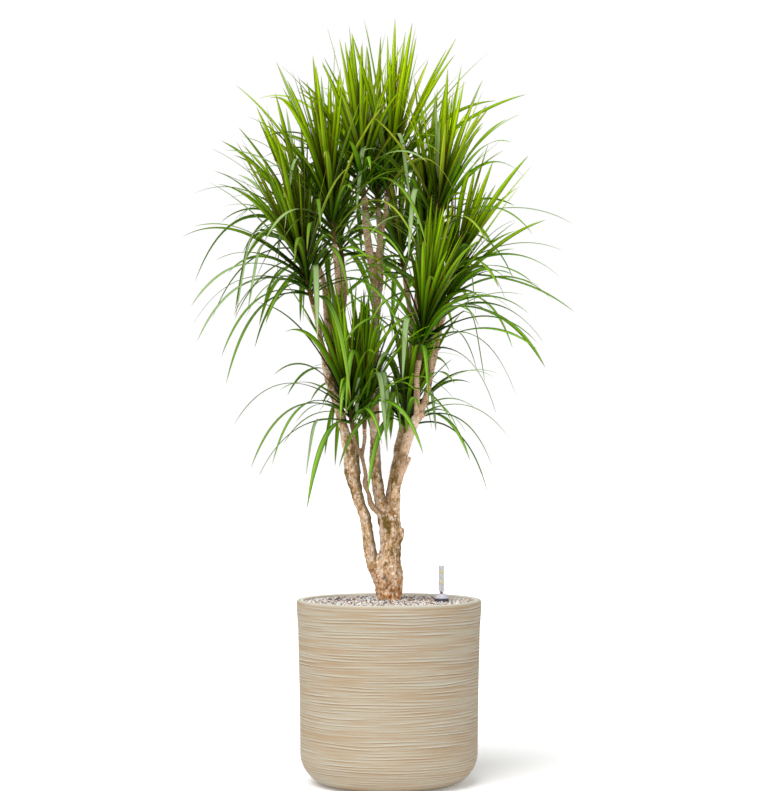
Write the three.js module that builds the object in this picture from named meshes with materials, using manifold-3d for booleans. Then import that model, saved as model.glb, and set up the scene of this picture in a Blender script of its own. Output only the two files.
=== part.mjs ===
// A potted dragon tree: a stump that divides into bare canes, each with a tuft of narrow
// arching leaves, standing in mineral granules in a round grooved planter with a water gauge.
// Millimetres, +Z up. The origin is the centre of the planter's flat foot, and -Y is the front.
import * as THREE from 'three';
import { mergeVertices } from 'three/addons/utils/BufferGeometryUtils.js';
import Module from 'manifold-3d';

const wasm = await Module();
wasm.setup();

// ---------------------------------------------------------------- driving dimensions

const GAP = 0.3; // between pieces that touch on the real thing

const POT_HEIGHT = 397;
const POT_FOOT_RADIUS = 124;
const POT_CORNER_RADIUS = 68;
const POT_SIDE = [[193.4, 190], [197, 335], [200, 376]]; // radius, height
const POT_RIM_RADIUS = 200;
const POT_RIM_ROUND = 3;
const POT_WALL = 14;
const POT_SIDES = 36;

const STEM_RADIUS = 27.4; // of the buried foot of the stump
const STEM_FOOT = 250; // height of its lower end
const STEM_SIDES = 16;
const STEM_CLEARANCE = 0.5;

const GRANULES_EDGE = 389.5; // height of the granules by the wall and the gauge
const GRANULES_CENTRE = 402; // and of their mound about the stump
const GRANULES_MOUND = 96; // radius of the mound
const GRANULE_RELIEF = 1.6;
const GRANULE_RINGS = [150, GRANULES_MOUND, 72, 42]; // radii of the rings of points of their top
const WALL_CLEARANCE = 0.4;

const ROOT_BALL_RADIUS = 96;
const ROOT_BALL_BOTTOM = 160;
const ROOT_BALL_TOP = 368;
const ROOT_BALL_ROUND = 14;
const ROOT_BALL_SIDES = 20;

const GAUGE_AT = [114, 10];
const GAUGE_TOP = 470;
const GAUGE_CAP = 2; // thickness of the tube's closed top
const GAUGE_TUBE_RADIUS = 6.2;
const GAUGE_TUBE_BORE = 4.8;
const GAUGE_CHAMBER_RADIUS = 10;
const GAUGE_CHAMBER_BORE = 8.7;
const GAUGE_CHAMBER_TOP = 116;
const GAUGE_SHOULDER = 3; // height of the slope between chamber and tube
const GAUGE_PLUG_HEIGHT = 8;
const GAUGE_PLUG_BORE = 3;
const GAUGE_RING_RADIUS = 16;
const GAUGE_RING_HEIGHT = 8.5;
const GAUGE_COLLAR_HEIGHT = 10;
const GAUGE_SIDES = 12;
const FLOAT_RADIUS = 7.9;
const FLOAT_LENGTH = 34;
const FLOAT_ROUND = 2;
const FLOAT_ROD_RADIUS = 1.3;
const FLOAT_TIP_RADIUS = 2.9;
const FLOAT_TIP_LENGTH = 5;
const FLOAT_TIP_AT = 408.5; // height of the red tip when the planter is dry
const FLOAT_SIDES = 8;

const CORE_RADIUS = 9.5; // of the leafy end of a cane, wrapped in the leaves' feet
const CORE_TAPER = 0.9;
const CORE_SIDES = 5;
const LEAF_HALF_WIDTH = 5;
const LEAF_ROOT_HALF_WIDTH = 2.1;
const LEAF_WIDEST_AT = 0.3; // share of its length
const LEAF_THICKNESS = 1.5;
const LEAF_ROOT_DEPTH = 4; // distance of a leaf's root from the middle of its core
const LEAF_STEPS = 20; // of its centre line
const LEAF_CLEARANCE = 0.7; // between leaves of two tufts
const LEAF_TRIES = 90;
const GOLDEN_ANGLE = 2.39996; // between one leaf and the next, about the cane
const YOUNGEST = { open: 6, droop: 0.05, length: 0.76 }; // length is a share of the oldest's
const OPEN_GROWTH = 1.3; // above 1, the leaves open late in their lives
const WANDER = { turn: 0.2, open: 9, droop: 0.5, length: 0.12 }; // most that a draw changes a leaf
const WANDER_GROWTH = 1 / 30; // with each try to find a leaf a clear place
const FEW_STATIONS = [0, 7, 14, LEAF_STEPS]; // steps at which a blade has a section
const MANY_STATIONS = [0, 5, 10, 15, LEAF_STEPS];
const MANY_FROM_DROOP = 2.2;

// The stump and its canes. Each row is x, y, z and radius. tuft names the leaves at a cane's end.
const LIMBS = [
  { sides: STEM_SIDES, path: [ // stump
    [0, 0, STEM_FOOT, STEM_RADIUS], [0, 0, 405, STEM_RADIUS], [-1, 0, 428, 31], [-3, 0, 447, 33.4],
    [-3, 0, 468, 30.6], [2, 0, 492, 25.2], [4, 0, 517, 23], [3, 0, 551, 24.5], [-2, 2, 582, 19] ] },
  { sides: 8, path: [ // left stem, with a callus where it was once cut
    [-10, 0, 425, 16], [-28, 0, 460, 16], [-38, 0, 484, 14], [-42, -4, 517, 13.4], [-52, -10, 576, 12],
    [-64, -13, 608, 12], [-74, -15, 645, 14], [-80, -20, 676, 17.2], [-82, -22, 706, 15.8],
    [-91, -25, 742, 13.2], [-98, -27, 768, 10.4], [-110, -30, 819, 10.4], [-123, -33, 858, 11.2],
    [-132, -36, 897, 12], [-138, -38, 924, 8.8]] },
  { sides: 8, path: [ // middle stem
    [-9, 0, 560, 15], [-17, 2, 603, 12.6], [-24, 4, 640, 13.4], [-29, 8, 680, 12.4], [-31, 11, 742, 11],
    [-31, 12, 800, 10.4], [-30, 12, 873, 9.6], [-29, 8, 1007, 8.6], [-27, 5, 1075, 10.2],
    [-38, 0, 1130, 9.2], [-48, -5, 1190, 8.8], [-51, -10, 1232, 7.8],
    [-54, -14, 1272, 7.2]], tuft: 'leaves_top_middle' },
  { sides: 8, path: [ // right stem, to the stub of a cut branch
    [8, -2, 545, 17], [12, -5, 585, 12.6], [13, -8, 622, 11.2], [18, -12, 664, 11.4], [34, -18, 721, 10.2],
    [50, -25, 768, 10.2], [60, -28, 790, 10.8], [77, -32, 800, 6]] },
  { sides: 6, path: [ // right back stem
    [2, 4, 560, 14], [1, 12, 603, 10.4], [5, 20, 638, 10], [13, 32, 677, 10.4], [24, 50, 743, 9.4],
    [36, 58, 800, 8], [46, 62, 880, 7.6], [62, 70, 1052, 7],
    [74, 74, 1158, 6.2]], tuft: 'leaves_right_back' },
  { sides: 6, path: [ // twig between the left and middle stems
    [-5, -8, 566, 9], [-26, -14, 588, 6.6], [-38, -18, 602, 7.2], [-44, -21, 626, 5], [-51, -24, 648, 6.4],
    [-51, -27, 672, 4.6], [-58, -30, 704, 4.4], [-60, -31, 718, 5.6]] },
  { sides: 6, path: [
    [-61, -31, 712, 4.4], [-74, -39, 740, 4.2], [-78, -42, 766, 4.2]], tuft: 'leaves_low_left' },
  { sides: 6, path: [
    [-59, -31, 712, 4.4], [-53, -29, 740, 4.2], [-53, -27, 772, 4.2]], tuft: 'leaves_low_middle' },
  { sides: 6, path: [[20, 44, 712, 7], [32, 40, 736, 5.2], [36, 35, 762, 4.8]], tuft: 'leaves_low_right' },
  { sides: 6, path: [
    [-133, -37, 902, 9], [-146, -43, 952, 6.2], [-155, -49, 1000, 5.8],
    [-164, -56, 1036, 5.6]], tuft: 'leaves_left_low' },
  { sides: 6, path: [
    [-126, -35, 872, 9], [-126, -27, 945, 6.6], [-135, -12, 1000, 6.4], [-142, 8, 1082, 6],
    [-156, 16, 1124, 5.8]], tuft: 'leaves_left_outer' },
  { sides: 6, path: [
    [-112, -30, 826, 9], [-108, -12, 885, 7], [-105, 0, 940, 6.8], [-106, 0, 991, 6.8],
    [-112, -22, 1106, 6.4], [-118, -32, 1166, 6.2]], tuft: 'leaves_left_inner' },
  { sides: 6, path: [
    [-105, 0, 975, 6.4], [-98, 42, 1050, 6], [-98, 86, 1090, 5.8],
    [-104, 118, 1138, 5.6]], tuft: 'leaves_back_left' },
  { sides: 6, path: [
    [-27, 6, 1060, 8], [-24, 9, 1105, 9.6], [-22, 13, 1150, 7.2], [-17, 17, 1190, 5.4], [-8, 22, 1238, 5],
    [-4, 24, 1276, 5]], tuft: 'leaves_top_right' },
  { sides: 6, path: [
    [-28, 9, 1020, 7], [-18, 40, 1100, 6], [-22, 76, 1206, 5.8],
    [-25, 92, 1256, 5.6]], tuft: 'leaves_top_back' },
  { sides: 6, path: [
    [61, -28, 786, 9], [60, -34, 833, 6.6], [60, -39, 880, 6.2],
    [65, -45, 916, 6]], tuft: 'leaves_middle_front' },
  { sides: 6, path: [
    [62, -27, 790, 9], [80, -18, 836, 6.8], [94, 0, 900, 6.6], [109, 22, 978, 6.2],
    [119, 30, 1014, 6]], tuft: 'leaves_middle_right' },
  { sides: 6, path: [
    [92, -2, 890, 6.6], [95, -6, 985, 6.4], [92, -18, 1110, 6.2],
    [98, -30, 1164, 6]], tuft: 'leaves_right_inner' },
  { sides: 6, path: [
    [93, -11, 1050, 6.2], [110, 0, 1064, 6], [124, 7, 1076, 5.8],
    [131, 10, 1094, 5.6]], tuft: 'leaves_right_outer' },
  { sides: 6, path: [
    [50, 64, 930, 7], [50, 96, 1000, 6.4], [36, 142, 1104, 6]], tuft: 'leaves_back_right' },
  { sides: 6, path: [[20, -14, 648, 8], [32, -24, 680, 6], [46, -28, 706, 4]] }, // split bark stub
  { sides: 6, path: [[12, -6, 512, 10], [24, -8, 534, 8.6], [29, -8, 552, 4.6]] }, // knob
];

// Each tuft: how many leaves, how long they are, how far the lowest ones open from its axis in
// degrees, how strongly they droop, and how long the leafy end of the cane is.
const TUFTS = {
  leaves_top_middle: { leaves: 25, length: 300, open: 56, droop: 1.2, core: 110 },
  leaves_top_right: { leaves: 24, length: 332, open: 52, droop: 1.1, core: 100 },
  leaves_top_back: { leaves: 22, length: 315, open: 58, droop: 1.3, core: 110 },
  leaves_left_inner: { leaves: 26, length: 335, open: 56, droop: 1.5, core: 140 },
  leaves_left_outer: { leaves: 26, length: 332, open: 60, droop: 2.3, core: 130 },
  leaves_left_low: { leaves: 25, length: 330, open: 74, droop: 2.9, core: 110 },
  leaves_right_inner: { leaves: 24, length: 305, open: 64, droop: 1.5, core: 130 },
  leaves_right_back: { leaves: 23, length: 318, open: 50, droop: 1.4, core: 130 },
  leaves_right_outer: { leaves: 18, length: 292, open: 86, droop: 1.8, core: 50 },
  leaves_middle_front: { leaves: 26, length: 300, open: 60, droop: 2.1, core: 120 },
  leaves_middle_right: { leaves: 25, length: 280, open: 70, droop: 2.2, core: 110 },
  leaves_low_left: { leaves: 24, length: 322, open: 66, droop: 3.0, core: 80 },
  leaves_low_middle: { leaves: 20, length: 276, open: 43, droop: 1.6, core: 90 },
  leaves_low_right: { leaves: 24, length: 268, open: 58, droop: 2.8, core: 60 },
  leaves_back_left: { leaves: 21, length: 308, open: 67, droop: 2.1, core: 120 },
  leaves_back_right: { leaves: 20, length: 290, open: 64, droop: 2.2, core: 120 },
};

// ---------------------------------------------------------------- helpers

const vector = (row) => new THREE.Vector3(row[0], row[1], row[2]);
const mix = (from, to, share) => from + (to - from) * share;

// A repeatable draw from 0 to 1 that depends only on the whole numbers given.
function draw(...keys) {
  let bits = 2166136261;
  for (const key of keys) {
    bits = Math.imul(bits ^ key, 16777619);
    bits = Math.imul(bits ^ (bits >>> 15), 2246822507);
    bits ^= bits >>> 13;
  }
  return (bits >>> 0) / 4294967296;
}

function solid(geometry) {
  const bare = geometry.clone();
  bare.deleteAttribute('normal');
  bare.deleteAttribute('uv');
  const merged = mergeVertices(bare, 1e-3);
  return new wasm.Manifold(new wasm.Mesh({
    numProp: 3,
    vertProperties: merged.getAttribute('position').array,
    triVerts: new Uint32Array(merged.index.array),
  }));
}

// The outer skin alone: a hollow that joining has sealed is filled, and a loose scrap is dropped.
function outerBody(manifold) {
  return manifold.decompose().reduce((most, body) => (body.volume() > most.volume() ? body : most));
}

function geometryOf(manifold) {
  const { numProp, vertProperties, triVerts } = manifold.getMesh();
  const places = new Float32Array((vertProperties.length / numProp) * 3);
  for (let i = 0; i < places.length / 3; i++) {
    places.set(vertProperties.subarray(i * numProp, i * numProp + 3), i * 3);
  }
  const geometry = new THREE.BufferGeometry();
  geometry.setAttribute('position', new THREE.BufferAttribute(places, 3));
  geometry.setIndex(new THREE.BufferAttribute(triVerts, 1));
  geometry.computeVertexNormals();
  return geometry;
}

// A closed skin over rings of points, each ring anticlockwise about the way the rings run.
// A tip closes the last ring to a point; without one it is closed flat.
function loft(rings, tip) {
  const sides = rings[0].length;
  const places = rings.flat().flatMap((point) => point.toArray());
  const faces = [];
  for (let ring = 0; ring + 1 < rings.length; ring++) {
    for (let side = 0; side < sides; side++) {
      const [a, b] = [ring * sides + side, ring * sides + ((side + 1) % sides)];
      faces.push(a, b, b + sides, a, b + sides, a + sides);
    }
  }
  const last = (rings.length - 1) * sides;
  for (let side = 1; side + 1 < sides; side++) faces.push(0, side + 1, side);
  if (tip) {
    const apex = places.push(...tip.toArray()) / 3 - 1;
    for (let side = 0; side < sides; side++) faces.push(last + side, last + ((side + 1) % sides), apex);
  } else {
    for (let side = 1; side + 1 < sides; side++) faces.push(last, last + side, last + side + 1);
  }
  const geometry = new THREE.BufferGeometry();
  geometry.setAttribute('position', new THREE.Float32BufferAttribute(places, 3));
  geometry.setIndex(faces);
  return geometry;
}

function headingAt(path, i) {
  const before = path[Math.max(i - 1, 0)];
  const after = path[Math.min(i + 1, path.length - 1)];
  return after.clone().sub(before).normalize();
}

// A round rod along a path, with a radius for each point of it.
function rod(path, radii, sides, tip) {
  const rings = path.map((centre, i) => {
    const ahead = headingAt(path, i);
    const across = new THREE.Vector3(0, 1, 0).cross(ahead).normalize();
    const up = ahead.clone().cross(across);
    return Array.from({ length: sides }, (_, side) => {
      const angle = (side / sides) * 2 * Math.PI;
      return centre.clone()
        .addScaledVector(across, radii[i] * Math.cos(angle))
        .addScaledVector(up, radii[i] * Math.sin(angle));
    });
  });
  return loft(rings, tip);
}

function turned(profile, sides) {
  const points = profile.map(([radius, height]) => new THREE.Vector2(radius, height));
  return new THREE.LatheGeometry(points, sides).rotateX(Math.PI / 2);
}

function post(radius, bottom, top, sides, [x, y] = [0, 0]) {
  return turned([[0, bottom], [radius, bottom], [radius, top], [0, top]], sides).translate(x, y, 0);
}

const group = new THREE.Group();
group.name = 'potted_dragon_tree';

function add(name, geometry, color, roughness, extra = {}) {
  const material = new THREE.MeshStandardMaterial({ color, roughness, metalness: 0, ...extra });
  const mesh = new THREE.Mesh(geometry, material);
  mesh.name = name;
  group.add(mesh);
}

// ---------------------------------------------------------------- planter

function arc(centreRadius, centreHeight, radius, from, to, steps) {
  return Array.from({ length: steps + 1 }, (_, i) => {
    const angle = mix(from, to, i / steps);
    return [centreRadius + radius * Math.cos(angle), centreHeight + radius * Math.sin(angle)];
  });
}

function planter() {
  const inner = POT_CORNER_RADIUS - POT_WALL;
  const profile = [
    [0, 0],
    ...arc(POT_FOOT_RADIUS, POT_CORNER_RADIUS, POT_CORNER_RADIUS, -Math.PI / 2, 0, 4),
    ...POT_SIDE,
    ...arc(POT_RIM_RADIUS - POT_RIM_ROUND, POT_HEIGHT - POT_RIM_ROUND, POT_RIM_ROUND, 0, Math.PI / 2, 2),
    [POT_RIM_RADIUS - POT_WALL, POT_HEIGHT],
    ...POT_SIDE.map(([radius, height]) => [radius - POT_WALL, height]).reverse(),
    ...arc(POT_FOOT_RADIUS, POT_CORNER_RADIUS, inner, 0, -Math.PI / 2, 3),
    [0, POT_WALL],
  ];
  return turned(profile, POT_SIDES);
}

// ---------------------------------------------------------------- granules and root ball

function granulesHeight(radius) {
  const share = Math.max(0, 1 - radius / GRANULES_MOUND);
  return mix(GRANULES_EDGE, GRANULES_CENTRE, share ** 2);
}

// The planter's filling, with a lumpy mound, a plain hole for the stump, a hollow for its root
// ball and a shaft for the gauge.
function granules() {
  const inset = POT_WALL + WALL_CLEARANCE;
  const profile = [
    ...arc(POT_FOOT_RADIUS, POT_CORNER_RADIUS, POT_CORNER_RADIUS - inset, -Math.PI / 2, 0, 3),
    ...POT_SIDE.map(([radius, height]) => [radius - inset, height]),
    [POT_RIM_RADIUS - inset, GRANULES_EDGE],
    ...GRANULE_RINGS.map((radius) => [radius, granulesHeight(radius)]),
  ];
  const rings = profile.map(([radius, height], ring) => Array.from({ length: POT_SIDES }, (_, sector) => {
    const angle = (sector / POT_SIDES) * 2 * Math.PI;
    const lump = height > GRANULES_EDGE ? (draw(ring, sector) * 2 - 1) * GRANULE_RELIEF : 0;
    return new THREE.Vector3(radius * Math.cos(angle), radius * Math.sin(angle), height + lump);
  }));
  const body = loft(rings, new THREE.Vector3(0, 0, GRANULES_CENTRE));
  const above = GRANULES_CENTRE + 20;
  const holes = [
    post(STEM_RADIUS + STEM_CLEARANCE, ROOT_BALL_TOP, above, STEM_SIDES),
    post(ROOT_BALL_RADIUS + STEM_CLEARANCE, ROOT_BALL_BOTTOM - GAP, ROOT_BALL_TOP + GAP, ROOT_BALL_SIDES),
    post(GAUGE_CHAMBER_RADIUS + STEM_CLEARANCE, 0, GAUGE_CHAMBER_TOP + 2, GAUGE_SIDES, GAUGE_AT),
    post(GAUGE_TUBE_RADIUS + STEM_CLEARANCE, GAUGE_CHAMBER_TOP, above, GAUGE_SIDES, GAUGE_AT),
  ];
  return geometryOf(holes.reduce((filled, hole) => filled.subtract(solid(hole)), solid(body)));
}

function rootBall() {
  const [bottom, top, waist] = [ROOT_BALL_BOTTOM, ROOT_BALL_TOP, ROOT_BALL_RADIUS - ROOT_BALL_ROUND];
  const ball = turned([
    [0, bottom],
    [waist, bottom],
    [ROOT_BALL_RADIUS, bottom + ROOT_BALL_ROUND],
    [ROOT_BALL_RADIUS, top - ROOT_BALL_ROUND],
    [waist, top],
    [0, top],
  ], ROOT_BALL_SIDES);
  const hole = post(STEM_RADIUS + STEM_CLEARANCE, STEM_FOOT - GAP, top + 5, STEM_SIDES);
  return geometryOf(solid(ball).subtract(solid(hole)));
}

// ---------------------------------------------------------------- stump and canes

function woodyStems() {
  const limbs = LIMBS.map(({ path, sides }) => rod(path.map(vector), path.map((row) => row[3]), sides));
  return geometryOf(outerBody(limbs.map(solid).reduce((joined, limb) => joined.add(limb))));
}

// ---------------------------------------------------------------- leaves

const tufts = LIMBS.filter(({ tuft }) => tuft).map(({ path, tuft }, number) => {
  const [before, base] = path.slice(-2).map(vector);
  const axis = base.clone().sub(before).normalize();
  return { name: tuft, number, base, axis, ...TUFTS[tuft], blades: [] };
});

function coreAlong({ base, axis }, distance) {
  return base.clone().addScaledVector(axis, distance);
}

// Straight stretches of a path, each with the radius of a rod that holds what runs along it.
function stretches(path, radii, facts) {
  return path.slice(1).map((end, i) => ({
    start: path[i], end, radius: Math.max(radii[i], radii[i + 1]), first: i === 0, ...facts,
  }));
}

// What the leaves have to stay clear of: canes, cores, and the leaves already placed.
const obstacles = [
  ...LIMBS.flatMap(({ path, tuft }) => (
    stretches(path.map(vector), path.map((row) => row[3]), { isWood: true, tuft }))),
  ...tufts.flatMap((tuft) => (
    stretches([tuft.base, coreAlong(tuft, tuft.core)], [CORE_RADIUS, CORE_RADIUS],
      { isWood: true, tuft: tuft.name }))),
];

// Distance between two straight stretches, each from start to end.
function distanceBetween(one, other) {
  const along = one.end.clone().sub(one.start);
  const alongOther = other.end.clone().sub(other.start);
  const between = one.start.clone().sub(other.start);
  const [a, b, e] = [along.dot(along), along.dot(alongOther), alongOther.dot(alongOther)];
  const [c, f] = [along.dot(between), alongOther.dot(between)];
  const clamp = (value) => THREE.MathUtils.clamp(value, 0, 1);
  const skew = a * e - b * b;
  const first = skew > 1e-9 ? clamp((b * f - c * e) / skew) : 0;
  const share = clamp((b * first + f) / e);
  const nearest = one.start.clone().addScaledVector(along, clamp((b * share - c) / a));
  return nearest.distanceTo(other.start.clone().addScaledVector(alongOther, share));
}

// The roots of one tuft's leaves lie close together, so they are tested only against other tufts.
function isClear(parts, tuft) {
  return parts.every((part) => obstacles.every((other) => {
    const isOwn = other.tuft === tuft.name;
    if (isOwn && (part.first || (other.first && !other.isWood))) return true;
    const reach = part.radius + other.radius + (isOwn ? 0 : LEAF_CLEARANCE);
    return distanceBetween(part, other) > reach;
  }));
}

// Half the leaf's width at a share of its length.
function halfWidth(share) {
  if (share < LEAF_WIDEST_AT) return mix(LEAF_ROOT_HALF_WIDTH, LEAF_HALF_WIDTH, share / LEAF_WIDEST_AT);
  const past = (share - LEAF_WIDEST_AT) / (1 - LEAF_WIDEST_AT);
  return LEAF_HALF_WIDTH * (1 - past ** 2.2) ** 0.8;
}

// One leaf's centre line: it leaves the cane at an angle and bends towards the ground. age is 0
// for the youngest leaf, upright in the middle of the tuft, and 1 for the oldest, at its foot.
function leafPath(tuft, leaf, attempt) {
  const age = 1 - leaf / (tuft.leaves - 1);
  const freedom = 1 + attempt * WANDER_GROWTH;
  const wander = (channel) => (draw(tuft.number, leaf, attempt, channel) * 2 - 1) * freedom;
  const turn = leaf * GOLDEN_ANGLE + tuft.number + wander(1) * WANDER.turn;
  const opened = mix(YOUNGEST.open, tuft.open, age ** OPEN_GROWTH) + wander(2) * WANDER.open;
  const open = THREE.MathUtils.degToRad(opened);
  const droop = YOUNGEST.droop + tuft.droop * age ** 1.3 * (1 + wander(3) * WANDER.droop);
  const growth = mix(YOUNGEST.length, 1, age ** 0.5) * (1 + wander(4) * WANDER.length);
  const stride = (tuft.length * growth) / LEAF_STEPS;
  const outward = new THREE.Vector3(0, 1, 0).cross(tuft.axis).normalize().applyAxisAngle(tuft.axis, turn);
  const start = tuft.axis.clone().multiplyScalar(Math.cos(open)).addScaledVector(outward, Math.sin(open));
  const place = coreAlong(tuft, tuft.core * mix(0.93, 0.1, age)).addScaledVector(outward, LEAF_ROOT_DEPTH);
  const line = [place.clone()];
  for (let step = 1; step <= LEAF_STEPS; step++) {
    const heading = start.clone();
    heading.z -= droop * (step / LEAF_STEPS) ** 1.4;
    place.addScaledVector(heading.normalize(), stride);
    line.push(place.clone());
  }
  const stations = droop < MANY_FROM_DROOP ? FEW_STATIONS : MANY_STATIONS;
  return {
    path: stations.map((step) => line[step]),
    halves: stations.map((step) => halfWidth(step / LEAF_STEPS)),
    side: tuft.axis.clone().cross(outward),
  };
}

// Places each tuft's leaves, the youngest first. A leaf that would cross one of another tuft, or a
// cane, is turned and bent until it is clear, and is left out where it never is.
function placeLeaves() {
  const most = Math.max(...tufts.map(({ leaves }) => leaves));
  for (let rank = 1; rank <= most; rank++) {
    for (const tuft of tufts.filter(({ leaves }) => leaves >= rank)) {
      for (let attempt = 0; attempt < LEAF_TRIES; attempt++) {
        const made = leafPath(tuft, tuft.leaves - rank, attempt);
        const parts = stretches(made.path, made.halves, { tuft: tuft.name });
        if (!isClear(parts, tuft)) continue;
        obstacles.push(...parts);
        tuft.blades.push(made);
        break;
      }
    }
  }
}

// A three-sided blade: flat above, keeled below, tapering to a point. side is the way its width
// runs at its root, from where it is carried along the leaf without a twist.
function blade({ path, halves, side }) {
  let across = side;
  const rings = path.slice(0, -1).map((centre, i) => {
    const ahead = headingAt(path, i);
    across = across.clone().addScaledVector(ahead, -across.dot(ahead)).normalize();
    const up = ahead.clone().cross(across);
    return [
      centre.clone().addScaledVector(across, halves[i]),
      centre.clone().addScaledVector(across, -halves[i]),
      centre.clone().addScaledVector(up, -LEAF_THICKNESS),
    ];
  });
  return loft(rings, path.at(-1));
}

function tuftGeometry(tuft) {
  const shoulder = coreAlong(tuft, tuft.core * CORE_TAPER);
  const core = rod([coreAlong(tuft, GAP), shoulder], [CORE_RADIUS, CORE_RADIUS * CORE_TAPER], CORE_SIDES,
    coreAlong(tuft, tuft.core));
  const joined = tuft.blades.reduce((whole, made) => whole.add(solid(blade(made))), solid(core));
  return geometryOf(outerBody(joined));
}

// ---------------------------------------------------------------- water gauge

const gaugeFoot = POT_WALL + GAP;
const plugTop = gaugeFoot + GAUGE_PLUG_HEIGHT;
const aroundTube = GAUGE_TUBE_RADIUS + GAP;
const ringTop = GRANULES_EDGE + GAUGE_RING_HEIGHT;

// Hollow tube, closed at the top, with a wider float chamber at its foot.
function gaugeTube() {
  return turned([
    [GAUGE_CHAMBER_RADIUS, gaugeFoot],
    [GAUGE_CHAMBER_RADIUS, GAUGE_CHAMBER_TOP - GAUGE_SHOULDER],
    [GAUGE_TUBE_RADIUS, GAUGE_CHAMBER_TOP],
    [GAUGE_TUBE_RADIUS, GAUGE_TOP - 1.5],
    [GAUGE_TUBE_RADIUS - 1.5, GAUGE_TOP],
    [0, GAUGE_TOP],
    [0, GAUGE_TOP - GAUGE_CAP],
    [GAUGE_TUBE_BORE, GAUGE_TOP - GAUGE_CAP],
    [GAUGE_TUBE_BORE, GAUGE_CHAMBER_TOP - GAUGE_CAP],
    [GAUGE_CHAMBER_BORE, GAUGE_CHAMBER_TOP - GAUGE_CAP - GAUGE_SHOULDER],
    [GAUGE_CHAMBER_BORE, gaugeFoot],
    [GAUGE_CHAMBER_RADIUS, gaugeFoot],
  ], GAUGE_SIDES);
}

// Ring that closes the chamber's foot and lets the water in.
function gaugePlug() {
  const outer = GAUGE_CHAMBER_BORE - GAP;
  return turned([
    [GAUGE_PLUG_BORE, gaugeFoot], [outer, gaugeFoot], [outer, plugTop], [GAUGE_PLUG_BORE, plugTop],
    [GAUGE_PLUG_BORE, gaugeFoot],
  ], GAUGE_SIDES);
}

// Float in the chamber, with the rod that carries the red tip up past the marks.
function gaugeFloat() {
  const bottom = plugTop + GAP;
  const top = bottom + FLOAT_LENGTH;
  return turned([
    [0, bottom], [FLOAT_RADIUS - FLOAT_ROUND, bottom], [FLOAT_RADIUS, bottom + FLOAT_ROUND],
    [FLOAT_RADIUS, top - FLOAT_ROUND], [FLOAT_RADIUS - FLOAT_ROUND, top], [FLOAT_ROD_RADIUS, top],
    [FLOAT_ROD_RADIUS, FLOAT_TIP_AT - GAP], [0, FLOAT_TIP_AT - GAP],
  ], FLOAT_SIDES);
}

function gaugeTip() {
  const top = FLOAT_TIP_AT + FLOAT_TIP_LENGTH;
  return turned([
    [0, FLOAT_TIP_AT], [FLOAT_TIP_RADIUS, FLOAT_TIP_AT], [FLOAT_TIP_RADIUS, top - 1],
    [FLOAT_TIP_RADIUS - 1, top], [0, top],
  ], FLOAT_SIDES);
}

// Flat ring that stands on the granules, and the cone-shaped collar on top of it.
function gaugeRing() {
  const bottom = GRANULES_EDGE + GAP;
  return turned([
    [aroundTube, bottom], [GAUGE_RING_RADIUS, bottom], [GAUGE_RING_RADIUS, ringTop], [aroundTube, ringTop],
    [aroundTube, bottom],
  ], GAUGE_SIDES);
}

function gaugeCollar() {
  const bottom = ringTop + GAP;
  const top = bottom + GAUGE_COLLAR_HEIGHT;
  return turned([
    [aroundTube, bottom], [GAUGE_RING_RADIUS - 0.5, bottom], [GAUGE_RING_RADIUS - 2, bottom + 2.5],
    [aroundTube + 3, top - 2], [aroundTube + 1.4, top], [aroundTube, top], [aroundTube, bottom],
  ], GAUGE_SIDES);
}

// ---------------------------------------------------------------- the whole

placeLeaves();

add('planter', planter(), 0xc9b592, 0.85);
add('granules', granules(), 0xb9aea3, 0.95);
add('root_ball', rootBall(), 0x3b2c20, 1);
add('stump_and_canes', woodyStems(), 0xa98a68, 0.9);
tufts.forEach((tuft) => add(tuft.name, tuftGeometry(tuft), 0x4a7a1c, 0.45));

const atGauge = (geometry) => geometry.translate(GAUGE_AT[0], GAUGE_AT[1], 0);
add('gauge_tube', atGauge(gaugeTube()), 0xd6d5d4, 0.3, { transparent: true, opacity: 0.6 });
add('gauge_plug', atGauge(gaugePlug()), 0x4a4550, 0.5);
add('gauge_float', atGauge(gaugeFloat()), 0xf0efe9, 0.6);
add('gauge_tip', atGauge(gaugeTip()), 0xb5301c, 0.4);
add('gauge_ring', atGauge(gaugeRing()), 0x4a4550, 0.5);
add('gauge_collar', atGauge(gaugeCollar()), 0xc9c8d4, 0.35);

export default group;
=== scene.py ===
"""The looks of a potted dragon tree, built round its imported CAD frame.

Metres, +Z up. The origin is the centre of the planter's flat foot, and -Y is the front.
"""

import math
import random

import bmesh
import bpy
import numpy as np
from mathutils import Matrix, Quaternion, Vector, noise


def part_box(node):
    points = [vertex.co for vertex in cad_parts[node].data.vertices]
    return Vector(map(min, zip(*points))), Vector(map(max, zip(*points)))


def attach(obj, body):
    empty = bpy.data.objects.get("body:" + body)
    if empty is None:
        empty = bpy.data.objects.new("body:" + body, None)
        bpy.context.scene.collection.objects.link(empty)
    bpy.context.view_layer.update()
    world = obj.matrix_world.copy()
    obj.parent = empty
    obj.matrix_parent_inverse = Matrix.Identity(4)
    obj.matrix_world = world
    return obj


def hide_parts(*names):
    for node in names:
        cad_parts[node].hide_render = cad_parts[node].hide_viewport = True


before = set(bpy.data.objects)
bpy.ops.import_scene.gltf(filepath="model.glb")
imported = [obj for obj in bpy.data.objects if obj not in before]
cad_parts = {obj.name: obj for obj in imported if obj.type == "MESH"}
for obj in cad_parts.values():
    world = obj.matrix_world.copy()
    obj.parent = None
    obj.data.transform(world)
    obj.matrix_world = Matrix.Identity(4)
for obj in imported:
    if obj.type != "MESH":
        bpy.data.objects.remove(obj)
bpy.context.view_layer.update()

# ---------------------------------------------------------------- driving dimensions

MM = 0.001

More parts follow.
